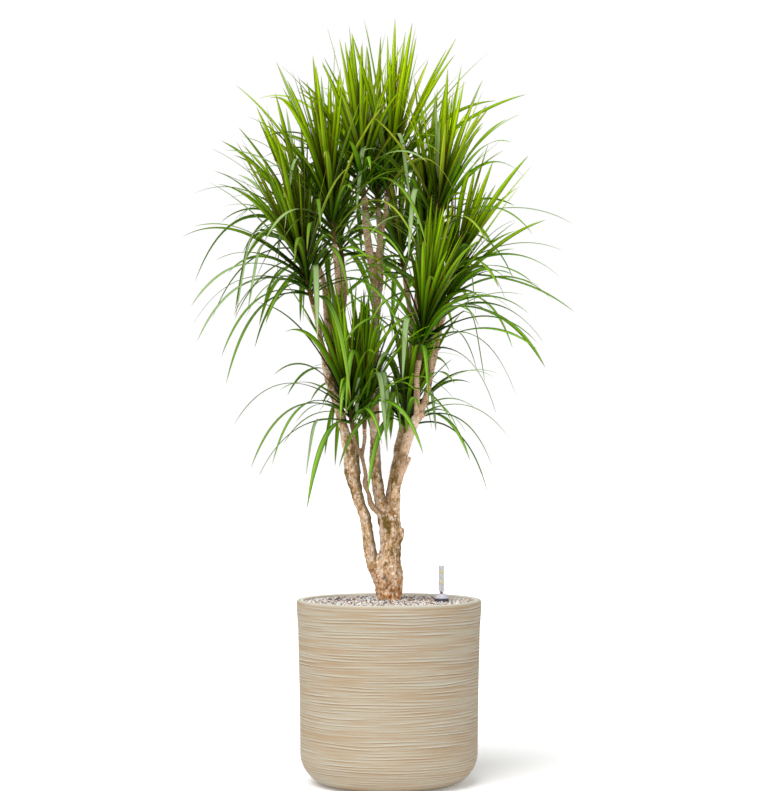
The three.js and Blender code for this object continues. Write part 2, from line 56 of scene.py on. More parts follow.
# Planter, as in the CAD but for a rounder rim. Each point of its side is radius, height.
POT_HEIGHT = 397 * MM
POT_FOOT_RADIUS = 124 * MM
POT_CAP_RADIUS = POT_FOOT_RADIUS * 0.5  # of the one flat face in the middle of its foot
POT_CORNER_RADIUS = 68 * MM
POT_TAPER_HEIGHT = 335 * MM
POT_SIDE = [(193.4 * MM, 190 * MM), (197 * MM, POT_TAPER_HEIGHT), (200 * MM, 376 * MM)]
POT_RIM_RADIUS = 200 * MM
POT_RIM_ROUND = 5 * MM
POT_LIP_ROUND = 3 * MM  # of the rim's inner edge
POT_WALL = 14 * MM
POT_FLOOR = 14 * MM
POT_FLOOR_CAP = 20 * MM  # radius of the one flat face in the middle of its floor
POT_COLUMNS = 150
GROOVE_ROW = 0.8 * MM  # distance between two rows of the planter's grooved skin
GROOVE_DEPTH = 0.65 * MM
GROOVE_PITCH = 6.2 * MM
GROOVE_HALF_WIDTH = 1.3 * MM
GROOVE_SWAY = [(0.9, (3, 3, 34), 0), (0.35, (9, 9, 90), 5)]  # in pitches, then waves a metre and offset
GROOVE_CHANGE = (9, 0.73)  # waves of strength, a metre along a groove and from one groove to the next
BURR_OFFSET = 2 * MM  # from a groove's middle to the ridge pushed up beside it
BURR_HALF_WIDTH = 1.6 * MM
GROOVE_FADE = 9 * MM  # the grooves run out over this height under the rim
GROOVE_TOP = 2 * MM  # the plain band between them and the rim's top
GROOVE_FOOT_FADE = 20 * MM

# Granules. Their top falls from the stump to the wall.
GRANULES_EDGE = 389.5 * MM
GRANULES_CENTRE = 402 * MM
GRANULES_MOUND = 96 * MM
GRANULES_REACH = 184 * MM
STONE_SEED = 41
STONE_SPACING = 4.9 * MM
STONE_ROW_PITCH = STONE_SPACING * 0.866
STONE_STRAY = 0.3  # of the spacing, the most that a stone lies off its place
STONE_SIZE = (2.6 * MM, 4.2 * MM)  # half the length of the smallest and the largest
STONE_LIFT = (-1.6, 1.4)  # millimetres from the granules' top to a stone's middle
STONE_FORM = (1, 0.82, 0.66)  # its length, width and height
STONE_ROUGHNESS = (0.86, 1.1)  # distances of its corners from its middle
STONE_POINTS = 15
STONE_SHAPES = 36
STUMP_CLEARANCE = 26 * MM  # from the stump's middle to the first stone
GAUGE_CLEARANCE = 1 * MM

# Water gauge, as in the CAD with rounder edges
GAUGE_AT = (114 * MM, 10 * MM)
GAUGE_SIDES = 48
GAUGE_CREASE = 35  # degrees between two faces whose edge stays sharp
GAUGE_RING_RADIUS = 16 * MM
GAUGE_TUBE_RADIUS = 6.2 * MM
GAUGE_TUBE_BORE = 4.8 * MM
GAUGE_TUBE_ROUND = 1.8 * MM
GAUGE_TUBE_CAP = 2 * MM  # thickness of its closed top
GAUGE_CHAMBER_RADIUS = 10 * MM
GAUGE_CHAMBER_BORE = 8.7 * MM
GAUGE_CHAMBER_TOP = 116 * MM
GAUGE_SHOULDER = 3 * MM
GAUGE_COLLAR_HOLE = 6.5 * MM
GAUGE_EDGE_ROUND = 0.8 * MM
GAUGE_PLUG_RADIUS = 8.4 * MM
GAUGE_PLUG_HOLE = 3 * MM
FLOAT_RADIUS = 7.9 * MM
FLOAT_LENGTH = 34 * MM
FLOAT_ROUND = 2 * MM
FLOAT_ROD_RADIUS = 1.3 * MM
FLOAT_CAP_RADIUS = 1 * MM  # of the one flat face in the middle of its foot
FLOAT_TIP_RADIUS = 2.9 * MM
FLOAT_TIP_ROUND = 1 * MM
GAUGE_FROST_FROM = (413 * MM, 415 * MM)  # the tube is clearer below, where the float's tip rests
GAUGE_MARK_HEIGHTS = (434 * MM, 456 * MM)
GAUGE_MARK_SIZE = (27, 5 * MM)  # half its turn about the tube in degrees, and its height
GAUGE_MARK_POINTS = 9
GAUGE_MARK_SECTION = [(0.02, -0.5), (0.25, -0.44), (0.25, 0.44), (0.02, 0.5)]  # mm out, share of its height

# Wood
VOXEL = 2.0 * MM
CANE_STEP = 3 * MM
STUMP_SIDES = 40
CANE_SIDES = 18
SCAR_PITCH = 4.2 * MM  # between two rings of leaf scars

# Leaves: the rule of the CAD's leaves, and the further leaves that fill its tufts.
CORE_RADIUS = 9.5 * MM
LEAF_HALF_WIDTH = 5 * MM
LEAF_ROOT_HALF_WIDTH = 2.1 * MM
LEAF_WIDEST_AT = 0.3
LEAF_ROOT_DEPTH = 4 * MM
LEAF_STEPS = 20
LEAF_CLEARANCE = 0.7 * MM
LEAF_TRIES = 90
GOLDEN_ANGLE = 2.39996
YOUNGEST_OPEN, YOUNGEST_DROOP, YOUNGEST_LENGTH = 6, 0.05, 0.76
OPEN_GROWTH = 1.3
WANDER_TURN, WANDER_OPEN, WANDER_DROOP, WANDER_LENGTH = 0.2, 9, 0.5, 0.12
WANDER_GROWTH = 1 / 30
FEW_STATIONS = [0, 7, 14, LEAF_STEPS]
MANY_STATIONS = [0, 5, 10, 15, LEAF_STEPS]
MANY_FROM_DROOP = 2.2
FILLER_FIRST = 100  # number of a tuft's first filling leaf in the draws
FILLER_TRIES = 12
FILLER_OLDEST = 0.95
FILLER_GROWTH = 1.4  # above 1, more of the fillers are young
FILLER_TURN = 0.37  # of the golden angle, so that no filler stands behind a leaf of the CAD
FILLER_REACH = (0.64, 1.0)  # of a leaf's length
FILLER_BREADTH = (0.85, 1.35)
FOLDED_SHARE = 0.2  # of the older fillers, which bend over sharply half-way
FOLDED_FROM_AGE = 0.4
FOLDED_AT, FOLDED_RATE, FOLDED_DROP = 0.42, 5, 4.5
FOLDED_BREADTH = 1.45
PALE_SHARE = 0.13  # of all the leaves, painted pale with sheen on their upper side
PALENESS = 0.75
HANGING_SHEEN = 0.14  # painted sheen: paleness of a leaf's upper side where it hangs, and 1 for a folded leaf
BLADE_BREADTH = 1.3
BLADE_ROOT_HALF_WIDTH = 3.6 * MM
BLADE_TIP_HALF_WIDTH = 0.12 * MM
BLADE_TWIST = (0.25, 0.95)  # the most in radians, of the youngest leaf and of the oldest
BLADE_FOLD = (36, 8)  # degrees that each half is raised at the root, and from BLADE_FLAT_FROM on
BLADE_FLAT_FROM = 0.35
BLADE_THICKNESS = (0.9, 0.3)  # millimetres at the root and at the tip
BLADE_LANES = [(-1, 0), (-0.52, 0), (0, 0), (0.52, 0), (1, 0), (0.52, 1), (0, 1), (-0.52, 1)]
CORE_SIDES = 12
CORE_SHAPE = [(-0.06, 4.2), (0.08, 5.2), (0.5, 4.4), (0.8, 3.2), (1, 1.2)]  # share of its length, mm
CORE_NUMBERS = {"age": 0.8, "tone": 0.4, "along": -0.1, "across": 0.3, "bloom": 0}

# The stump and its canes. Each row is x, y, z and radius, in millimetres.
LIMBS = [
    ("", [  # stump
        (0, 0, 250, 27.4), (0, 0, 405, 27.4), (-1, 0, 428, 31), (-3, 0, 447, 33.4),
        (-3, 0, 468, 30.6), (2, 0, 492, 25.2), (4, 0, 517, 23), (3, 0, 551, 24.5), (-2, 2, 582, 19)]),
    ("", [  # left stem, with a callus where it was once cut
        (-10, 0, 425, 16), (-28, 0, 460, 16), (-38, 0, 484, 14), (-42, -4, 517, 13.4), (-52, -10, 576, 12),
        (-64, -13, 608, 12), (-74, -15, 645, 14), (-80, -20, 676, 17.2), (-82, -22, 706, 15.8),
        (-91, -25, 742, 13.2), (-98, -27, 768, 10.4), (-110, -30, 819, 10.4), (-123, -33, 858, 11.2),
        (-132, -36, 897, 12), (-138, -38, 924, 8.8)]),
    ("leaves_top_middle", [  # middle stem
        (-9, 0, 560, 15), (-17, 2, 603, 12.6), (-24, 4, 640, 13.4), (-29, 8, 680, 12.4), (-31, 11, 742, 11),
        (-31, 12, 800, 10.4), (-30, 12, 873, 9.6), (-29, 8, 1007, 8.6), (-27, 5, 1075, 10.2),
        (-38, 0, 1130, 9.2), (-48, -5, 1190, 8.8), (-51, -10, 1232, 7.8), (-54, -14, 1272, 7.2)]),
    ("", [  # right stem, to the stub of a cut branch
        (8, -2, 545, 17), (12, -5, 585, 12.6), (13, -8, 622, 11.2), (18, -12, 664, 11.4),
        (34, -18, 721, 10.2), (50, -25, 768, 10.2), (60, -28, 790, 10.8), (77, -32, 800, 6)]),
    ("leaves_right_back", [  # right back stem
        (2, 4, 560, 14), (1, 12, 603, 10.4), (5, 20, 638, 10), (13, 32, 677, 10.4), (24, 50, 743, 9.4),
        (36, 58, 800, 8), (46, 62, 880, 7.6), (62, 70, 1052, 7), (74, 74, 1158, 6.2)]),
    ("", [  # twig between the left and middle stems
        (-5, -8, 566, 9), (-26, -14, 588, 6.6), (-38, -18, 602, 7.2), (-44, -21, 626, 5),
        (-51, -24, 648, 6.4), (-51, -27, 672, 4.6), (-58, -30, 704, 4.4), (-60, -31, 718, 5.6)]),
    ("leaves_low_left", [(-61, -31, 712, 4.4), (-74, -39, 740, 4.2), (-78, -42, 766, 4.2)]),
    ("leaves_low_middle", [(-59, -31, 712, 4.4), (-53, -29, 740, 4.2), (-53, -27, 772, 4.2)]),
    ("leaves_low_right", [(20, 44, 712, 7), (32, 40, 736, 5.2), (36, 35, 762, 4.8)]),
    ("leaves_left_low", [
        (-133, -37, 902, 9), (-146, -43, 952, 6.2), (-155, -49, 1000, 5.8), (-164, -56, 1036, 5.6)]),
    ("leaves_left_outer", [
        (-126, -35, 872, 9), (-126, -27, 945, 6.6), (-135, -12, 1000, 6.4), (-142, 8, 1082, 6),
        (-156, 16, 1124, 5.8)]),
    ("leaves_left_inner", [
        (-112, -30, 826, 9), (-108, -12, 885, 7), (-105, 0, 940, 6.8), (-106, 0, 991, 6.8),
        (-112, -22, 1106, 6.4), (-118, -32, 1166, 6.2)]),
    ("leaves_back_left", [
        (-105, 0, 975, 6.4), (-98, 42, 1050, 6), (-98, 86, 1090, 5.8), (-104, 118, 1138, 5.6)]),
    ("leaves_top_right", [
        (-27, 6, 1060, 8), (-24, 9, 1105, 9.6), (-22, 13, 1150, 7.2), (-17, 17, 1190, 5.4),
        (-8, 22, 1238, 5), (-4, 24, 1276, 5)]),
    ("leaves_top_back", [
        (-28, 9, 1020, 7), (-18, 40, 1100, 6), (-22, 76, 1206, 5.8), (-25, 92, 1256, 5.6)]),
    ("leaves_middle_front", [
        (61, -28, 786, 9), (60, -34, 833, 6.6), (60, -39, 880, 6.2), (65, -45, 916, 6)]),
    ("leaves_middle_right", [
        (62, -27, 790, 9), (80, -18, 836, 6.8), (94, 0, 900, 6.6), (109, 22, 978, 6.2), (119, 30, 1014, 6)]),
    ("leaves_right_inner", [
        (92, -2, 890, 6.6), (95, -6, 985, 6.4), (92, -18, 1110, 6.2), (98, -30, 1164, 6)]),
    ("leaves_right_outer", [
        (93, -11, 1050, 6.2), (110, 0, 1064, 6), (124, 7, 1076, 5.8), (131, 10, 1094, 5.6)]),
    ("leaves_back_right", [(50, 64, 930, 7), (50, 96, 1000, 6.4), (36, 142, 1104, 6)]),
    ("", [(20, -14, 648, 8), (32, -24, 680, 6), (46, -28, 706, 4)]),  # split bark stub
    ("", [(12, -6, 512, 10), (24, -8, 534, 8.6), (29, -8, 552, 4.6)]),  # knob
]

# Each tuft: leaves in the CAD, their length in millimetres, how far the lowest open, their droop,
# the length of the leafy end of the cane, and the further leaves that fill the tuft.
TUFTS = {
    "leaves_top_middle": (25, 300, 56, 1.2, 110, 44),
    "leaves_top_right": (24, 332, 52, 1.1, 100, 30),
    "leaves_top_back": (22, 315, 58, 1.3, 110, 30),
    "leaves_left_inner": (26, 335, 56, 1.5, 140, 46),
    "leaves_left_outer": (26, 332, 60, 2.3, 130, 26),
    "leaves_left_low": (25, 330, 74, 2.9, 110, 44),
    "leaves_right_inner": (24, 305, 64, 1.5, 130, 12),
    "leaves_right_back": (23, 318, 50, 1.4, 130, 18),
    "leaves_right_outer": (18, 292, 86, 1.8, 50, 2),
    "leaves_middle_front": (26, 300, 60, 2.1, 120, 44),
    "leaves_middle_right": (25, 280, 70, 2.2, 110, 20),
    "leaves_low_left": (24, 322, 66, 3.0, 80, 38),
    "leaves_low_middle": (20, 276, 43, 1.6, 90, 40),
    "leaves_low_right": (24, 268, 58, 2.8, 60, 36),
    "leaves_back_left": (21, 308, 67, 2.1, 120, 30),
    "leaves_back_right": (20, 290, 64, 2.2, 120, 16),
}

# Camera and light
CAMERA_AT = (5.4 * MM, -4.674, 0.747)
CAMERA_PITCH = 1.132  # degrees above the horizon
CAMERA_LENS = 97.85
CAMERA_CLIP = 60
FLOOR_RADIUS = 40
FLOOR_SIDES = 64
FLOOR_GLOW = 0.18  # keeps the shadow on it faint
SKY_STRENGTH = 0.315  # of the light from all round. The background itself is white
SUNS = [("key", 3.4, 46, (33, 0, -30)), ("fill", 0.5, 40, (48, 0, 50))]  # strength, spread, turn in degrees

# ---------------------------------------------------------------- finishes


def paint(code):
    """The linear colour of a paint code such as #c8bda5."""
    parts = [int(code[i:i + 2], 16) / 255 for i in (1, 3, 5)]
    return (*(c / 12.92 if c <= 0.04045 else ((c + 0.055) / 1.055) ** 2.4 for c in parts), 1)


class Wire:
    """An output socket of a finish. Arithmetic on it adds Math nodes."""

    def __init__(self, finish, socket):
        self.finish = finish
        self.socket = socket

    def maths(self, operation, *inputs):
        return self.finish.node("Math", {"operation": operation}, inputs)

    def __add__(self, other):
        return self.maths("ADD", self, other)

    def __radd__(self, other):
        return self.maths("ADD", other, self)

    def __sub__(self, other):
        return self.maths("SUBTRACT", self, other)

    def __rsub__(self, other):
        return self.maths("SUBTRACT", other, self)

    def __mul__(self, other):
        return self.maths("MULTIPLY", self, other)

    def __rmul__(self, other):
        return self.maths("MULTIPLY", other, self)

    def __abs__(self):
        return self.maths("ABSOLUTE", self)

    def sine(self):
        return self.maths("SINE", self)


class Finish:
    """A procedural material and the nodes that make it."""

    def __init__(self, name):
        self.material = bpy.data.materials.new(name)
        self.material.use_nodes = True
        self.tree = self.material.node_tree
        self.tree.nodes.clear()

    def node(self, kind, settings=None, sockets=(), output=0):
        """One node: its settings come first, then the values or wires of its sockets."""
        made = self.tree.nodes.new("ShaderNode" + kind)
        for setting, value in (settings or {}).items():
            if setting == "stops":
                self.set_stops(made.color_ramp, value)
            else:
                setattr(made, setting, value)
        pairs = sockets.items() if isinstance(sockets, dict) else enumerate(sockets)
        for place, value in pairs:
            if isinstance(value, Wire):
                self.tree.links.new(value.socket, made.inputs[place])
            else:
                made.inputs[place].default_value = value
        return Wire(self, made.outputs[output])

    @staticmethod
    def set_stops(ramp, stops):
        while len(ramp.elements) < len(stops):
            ramp.elements.new(1)
        for element, (place, code) in zip(ramp.elements, stops):
            element.position = place
            element.color = paint(code)

    def place(self):
        """Where a point is on the piece, in metres."""
        return self.node("TexCoord", output=3)

    def number(self, name):
        """A number that the mesh holds for each of its points."""
        return self.node("Attribute", {"attribute_name": name}, output=2)

    def stretched(self, along):
        """The place with its three directions multiplied by along."""
        return self.node("VectorMath", {"operation": "MULTIPLY"}, (self.place(), along))

    def grain(self, scale, detail=3.0, rough=0.55, vector=None):
        """Noise from 0 to 1. scale is in lumps a metre."""
        sockets = {"Vector": vector or self.place(), "Scale": scale, "Detail": detail, "Roughness": rough}
        return self.node("TexNoise", None, sockets)

    def rise(self, value, low, high):
        """0 below low, 1 above high, and a smooth slope between them."""
        settings = {"interpolation_type": "SMOOTHSTEP"}
        return self.node("MapRange", settings, {"Value": value, "From Min": low, "From Max": high})

    def blend(self, share, first, second):
        """The first colour where share is 0, the second where it is 1."""
        colours = [paint(c) if isinstance(c, str) else c for c in (first, second)]
        return self.node("Mix", {"data_type": "RGBA"}, {0: share, 6: colours[0], 7: colours[1]}, output=2)

    def ramp(self, value, *stops):
        return self.node("ValToRGB", {"stops": stops}, (value,))

    def relief(self, height, distance, strength=1.0):
        """A bump whose height of 1 stands for distance, in metres."""
        return self.node("Bump", None, {"Height": height, "Distance": distance, "Strength": strength})

    def done(self, colour, roughness, normal=None, **uniform):
        """Ends the tree in a Principled shader. Uniform values are named after its sockets."""
        sockets = {"Base Color": colour, "Roughness": roughness}
        if normal:
            sockets["Normal"] = normal
        for name, value in uniform.items():
            sockets[name.replace("_", " ")] = value
        shader = self.node("BsdfPrincipled", None, sockets)
        end = self.tree.nodes.new("ShaderNodeOutputMaterial")
        self.tree.links.new(shader.socket, end.inputs["Surface"])
        return self.material


def combed_plaster():
    """Beige planter with hand-drawn grooves: painted shade makes them tan in their depth, and painted
    highlight makes them cream on their ridges.
    """
    f = Finish("combed_plaster")
    comb = f.number("comb")
    broad = f.grain(1.0, 3, 0.6, f.stretched((5, 5, 110)))
    streaks = f.grain(1.0, 3, 0.6, f.stretched((6, 6, 250)))
    grit = f.grain(900, 2)
    colour = f.blend(f.rise(streaks * 0.6 + broad * 0.4, 0.38, 0.6), "#a38c70", "#aba28f")
    # Painted highlight: cream on the burrs. Painted shade: tan in the grooves.
    colour = f.blend(f.rise(comb, 0.53, 0.85) * 0.9, colour, "#bdb8ab")
    colour = f.blend(f.rise(comb, 0.45, 0.05) * 0.8, colour, "#856b4d")
    colour = f.blend(f.rise(grit, 0.58, 0.8) * 0.1, colour, "#cfcabb")
    level = f.node("SeparateXYZ", None, (f.place(),), output=2)
    colour = f.blend(f.rise(level, POT_HEIGHT - 3 * MM, POT_HEIGHT - 1 * MM), colour, "#bcb7a9")
    # The inside: the cream of the rim, painted paler still as painted light against the shade in the pot.
    colour = f.blend(f.number("inside") * 0.85, colour, "#ece5d6")
    height = streaks * 0.6 + grit * 0.25
    return f.done(colour, 0.8 - comb * 0.06, f.relief(height, 0.8 * MM, 0.7), Specular_IOR_Level=0.3)


def mineral_stone():
    """Pumice, clay and lava stones: white, pinkish beige and dark purple brown."""
    f = Finish("mineral_stone")
    shade = f.number("shade")
    speck = f.grain(700, 3, 0.6)
    base = f.ramp(
        shade, (0.0, "#4d3f40"), (0.12, "#6d5653"), (0.24, "#8a7570"), (0.3, "#c4aa98"), (0.48, "#d8c3b2"),
        (0.6, "#e5d8cb"), (0.66, "#d0d8dc"), (0.84, "#eaeef0"), (1.0, "#fbfaf8"))
    colour = f.blend(f.rise(speck, 0.5, 0.78) * 0.35, base, "#5c4c48")
    colour = f.blend(f.rise(speck, 0.5, 0.2) * 0.3, colour, "#f1eee8")
    return f.done(colour, 0.9, f.relief(speck, 0.5 * MM, 0.7), Specular_IOR_Level=0.25)


def granule_bed():
    """The granules under the loose stones at the top."""
    f = Finish("granule_bed")
    cell = f.node("TexVoronoi", None, {"Vector": f.place(), "Scale": 170.0}, output=1)
    tone = f.node("SeparateColor", None, (cell,))
    colour = f.ramp(tone, (0.0, "#5c4e4a"), (0.4, "#8c7a72"), (0.7, "#baa99c"), (1.0, "#d4cec7"))
    return f.done(colour, 0.95, f.relief(f.grain(260, 3), 2 * MM), Specular_IOR_Level=0.2)


def potting_soil():
    f = Finish("potting_soil")
    crumbs = f.grain(240, 4, 0.65)
    colour = f.ramp(crumbs, (0.3, "#1f1610"), (0.55, "#3c2c20"), (0.8, "#5e4936"))
    return f.done(colour, 0.95, f.relief(crumbs, 3 * MM), Specular_IOR_Level=0.2)


def bark():
    """Tan bark: rust near the granules, pale and olive patches, and rings of leaf scars on thin canes."""
    f = Finish("bark")
    height = f.number("height")
    girth = f.number("girth")
    along = f.number("along")
    hollow = f.number("hollow")
    broad = f.grain(1.0, 4, 0.6, f.stretched((36, 36, 15)))
    patches = f.grain(80, 4, 0.65)
    flakes = f.grain(1.0, 5, 0.7, f.stretched((160, 160, 125)))
    grit = f.grain(620, 3, 0.6)
    colour = f.blend(f.rise(patches, 0.34, 0.66), "#9c7444", "#dab48c")
    colour = f.blend(f.rise(broad, 0.48, 0.6) * 0.8, colour, "#e6cbb2")
    colour = f.blend(f.rise(flakes, 0.52, 0.6) * 0.75, colour, "#f7ecdf")
    colour = f.blend(f.rise(broad, 0.46, 0.36) * 0.85, colour, "#5e4a06")
    colour = f.blend(f.rise(flakes, 0.44, 0.36) * 0.8, colour, "#4e380e")
    colour = f.blend(f.rise(grit, 0.38, 0.28) * 0.4, colour, "#43300c")
    right = f.node("SeparateXYZ", None, (f.place(),), output=0)
    # Dark olive on the +X side of the wood left of the middle, below about 0.8 m: moss, and painted shade of
    # that side.
    moss_and_shade = f.rise(f.number("turn_x") + (patches - 0.5), 0.1, 0.8) * f.rise(right, 0.0, -0.02)
    colour = f.blend(moss_and_shade * f.rise(height, 0.8, 0.66) * 0.75, colour, "#453a0a")
    foot = f.rise(height + (broad - 0.5) * 0.09, 0.478, 0.415)
    rust = f.blend(f.rise(patches, 0.38, 0.6), "#a8622a", "#dea26a")
    rust = f.blend(f.rise(flakes, 0.45, 0.33) * 0.6, rust, "#5f3417")
    rust = f.blend(f.rise(flakes, 0.5, 0.58) * 0.8, rust, "#efe6cc")
    colour = f.blend(foot * 0.85, colour, rust)
    thin = f.rise(girth, 0.0115, 0.0075) * f.rise(height, 0.56, 0.62)
    turn = f.node("Math", {"operation": "ARCTAN2"}, (f.number("turn_y"), f.number("turn_x")))
    climb = along * (2 * math.pi / SCAR_PITCH) + (patches - 0.5) * 7
    scars = ((climb + turn).sine() + (climb * 0.93 - turn * 2).sine()) * 0.25 + 0.5
    colour = f.blend(thin * 0.6, colour, "#e0b08a")
    colour = f.blend(thin * f.rise(scars, 0.35, 0.0) * 0.6, colour, "#4a2f18")
    colour = f.blend(thin * f.rise(scars, 0.6, 0.9) * 0.6, colour, "#f6e2cc")
    colour = f.blend(thin * f.rise(patches, 0.45, 0.33) * 0.75, colour, "#4a2f18")
    twig = thin * f.rise(height, 0.78, 0.72) * f.rise(right, 0.01, -0.01)
    colour = f.blend(twig * 0.6, colour, "#6a4c2c")
    # Darker in the hollows of the furrows: painted shade.
    colour = f.blend(f.rise(hollow, 0.0, 1.0) * 0.7, colour, "#402d0c")
    lumps = patches * 0.4 + flakes * 0.5 + grit * 0.1 + thin * scars * 0.4
    return f.done(colour, 0.85 - flakes * 0.12, f.relief(lumps, 2.6 * MM, 0.9), Specular_IOR_Level=0.12)


def leaf_blade():
    """Glossy green leaf with a dark red margin and a dry tip. Painted sheen makes it pale where its upper
    side hangs outwards. Painted light makes it lighter high up, towards +X and towards its tip, and painted
    shade makes it darker at its root, towards -X and on one half of each blade.
    """
    f = Finish("leaf_blade")
    age = f.number("age")
    tone = f.number("tone")
    along = f.number("along")
    across = f.number("across")
    bloom = f.number("bloom")
    lines = f.node("CombineXYZ", None, (across * 9, along * 5, tone * 90))
    veins = f.grain(1.0, 3, 0.5, lines)
    right = f.node("SeparateXYZ", None, (f.place(),), output=0)
    height = f.node("SeparateXYZ", None, (f.place(),), output=2)
    # Painted light: high grows up the plant and towards +X, and top marks the crown's top, where the leaves
    # are painted lit.
    high = f.rise(height + (tone - 0.5) * 0.25 + right * 0.45, 1.05, 1.5)
    top = f.rise(height, 1.32, 1.52)
    # Lime green of young leaves, made stronger high up and towards +X by painted light.
    fresh_and_lit = f.rise(age + (tone - 0.5) * 0.7 - top * 0.4, 0.8, 0.1) * (high * 0.75 + 0.25 + top * 0.1)
    # Lighter towards the tip: painted light on the outer part of the leaf.
    colour = f.blend(f.rise(along, 0.35, 0.75) * 0.5, "#60a40a", "#8ac022")
    colour = f.blend(fresh_and_lit, colour, "#c2ea12")
    # Yellow-green leaves at random, made stronger high up and towards +X: partly painted light.
    colour = f.blend(f.rise(tone, 0.75, 0.98) * (high * 0.7 + 0.1), colour, "#e2e648")
    # Dark leaves at random, weaker at the top: painted shade, as of leaves in the crown's shadow.
    colour = f.blend(f.rise(tone, 0.36, 0.16) * (0.65 - top * 0.35), colour, "#2c5a06")
    colour = f.blend(f.rise(veins, 0.35, 0.75) * 0.2, colour, "#9ccc0a")
    shaded_half = f.rise(across + (tone - 0.5) * 0.8, -0.1, 0.12)
    colour = f.blend(shaded_half * (0.65 - high * 0.15), colour, "#3a6e03")
    # Darker towards -X, less at the top and on old leaves: painted shade.
    colour = f.blend(f.rise(right, 0.02, -0.24) * (0.35 - top * 0.25) * (1 - age * 0.4), colour, "#1f3d00")
    # Darker towards the root, less on old leaves and at the top: painted shade inside the tuft.
    colour = f.blend(f.rise(along, 0.68, 0.12) * (1 - age * 0.55 - top * 0.2), colour, "#0c1f00")
    colour = f.blend(f.rise(0.13 - abs(across), 0, 0.13) * 0.2, colour, "#93b018")
    edge = f.rise(abs(across), 0.6, 0.88)
    # A red-brown margin, its own colour, darkened to near black towards the root by painted shade.
    margin = f.blend(f.rise(along, 0.15, 0.55), "#180d02", "#70280e")
    colour = f.blend(edge * (0.92 - along * 0.35), colour, margin)
    # Painted sheen: pale green where the upper side hangs outwards, on folded leaves and on a share of all
    # the leaves.
    pale = f.blend(f.rise(veins, 0.3, 0.7), "#84a562", "#a2bc84")
    pale = f.blend(edge * 0.6, pale, "#7a5a44")
    colour = f.blend(bloom, colour, pale)
    sheath = f.rise(along, 0.05, 0.0)
    colour = f.blend(sheath * 0.7, colour, "#7d7a3c")
    colour = f.blend(f.rise(along, -0.01, -0.06), colour, "#6b5335")
    dry = f.rise(along + (tone - 0.5) * 0.04, 0.945, 0.99)
    colour = f.blend(dry * 0.85, colour, "#94663a")
    gloss = 0.42 + bloom * 0.12 + (veins - 0.5) * 0.1
    return f.done(colour, gloss, f.relief(veins, 0.35 * MM, 0.5), Specular_IOR_Level=0.02)


def frosted_tube():
    """Frosted plastic, nearly clear at the foot of the tube."""
    f = Finish("frosted_tube")
    haze = f.grain(60, 2)
    colour = f.blend(haze, "#cfced2", "#dad9dd")
    level = f.node("SeparateXYZ", None, (f.place(),), output=2)
    clouded = f.rise(level, *GAUGE_FROST_FROM) * 0.38 + 0.1 + (haze - 0.5) * 0.1
    return f.done(colour, 0.28 + haze * 0.1, f.relief(f.grain(300, 2), 0.1 * MM), Alpha=clouded, IOR=1.49)


def moulded_plastic(name, light, dark, roughness):
    """Opaque plastic with a faint grain."""
    f = Finish(name)
    cloud = f.grain(90, 3)
    grain = f.grain(1500, 2)
    colour = f.blend(cloud, dark, light)
    return f.done(colour, roughness + (cloud - 0.5) * 0.1, f.relief(grain, 0.06 * MM, 0.6))


def studio_floor():
    f = Finish("studio_floor")
    return f.done(f.blend(f.grain(1.5, 2), "#f7f7f6", "#fafaf9"), 0.9, Specular_IOR_Level=0.1,
                  Emission_Color=(1, 1, 1, 1), Emission_Strength=FLOOR_GLOW)


# ---------------------------------------------------------------- mesh helpers


def make_piece(name, places, faces, material, body="planter", smooth=True, numbers=None):
    """A mesh piece that rides on a CAD body. numbers holds, by name, a number for each point."""
    mesh = bpy.data.meshes.new(name)
    mesh.from_pydata(np.asarray(places).tolist(), [], faces)
    for title, values in (numbers or {}).items():
        layer = mesh.attributes.new(title, "FLOAT", "POINT")
        layer.data.foreach_set("value", np.asarray(values, np.float32))
    if smooth:
        mesh.shade_smooth()
    mesh.materials.append(material)
    mesh.validate()
    piece = bpy.data.objects.new(name, mesh)
    bpy.context.scene.collection.objects.link(piece)
    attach(piece, body)
    return piece


def coat(node, material):
    """Gives a CAD node that stays in sight a material of its own."""
    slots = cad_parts[node].data.materials
    slots.clear()
    slots.append(material)


def skin(rings, start=0, loop=False):
    """Faces of a tube through rings of points, an array of rings x sides x 3, whose points are
    numbered from start. Each ring runs anticlockwise about the way the rings go. The last ring
    joins the first in a loop, and otherwise both ends are closed."""
    count, sides = rings.shape[:2]
    ring = np.arange(count if loop else count - 1)[:, None]
    side = np.arange(sides)[None, :]
    here, above = ring * sides, (ring + 1) % count * sides
    beside = (side + 1) % sides
    quads = np.stack([here + side, here + beside, above + beside, above + side], -1)
    faces = (quads.reshape(-1, 4) + start).tolist()
    if not loop:
        faces.append([start + i for i in reversed(range(sides))])
        faces.append([start + (count - 1) * sides + i for i in range(sides)])
    return faces


def turned(profile, sides, at=(0, 0)):
    """Rings of a form turned about an upright axis. Each row of the profile is radius, height."""
    turn = np.arange(sides) * (2 * math.pi / sides)
    radius, height = np.array(profile, float).T[:, :, None]
    flat = np.zeros_like(turn)
    return np.stack([at[0] + radius * np.cos(turn), at[1] + radius * np.sin(turn), height + flat], -1)


def arc(centre, radius, first, last, steps):
    """Points of an arc in the profile plane, from angle first to last, in degrees."""
    turn = np.radians(np.linspace(first, last, steps + 1))
    return [(centre[0] + radius * math.cos(a), centre[1] + radius * math.sin(a)) for a in turn]


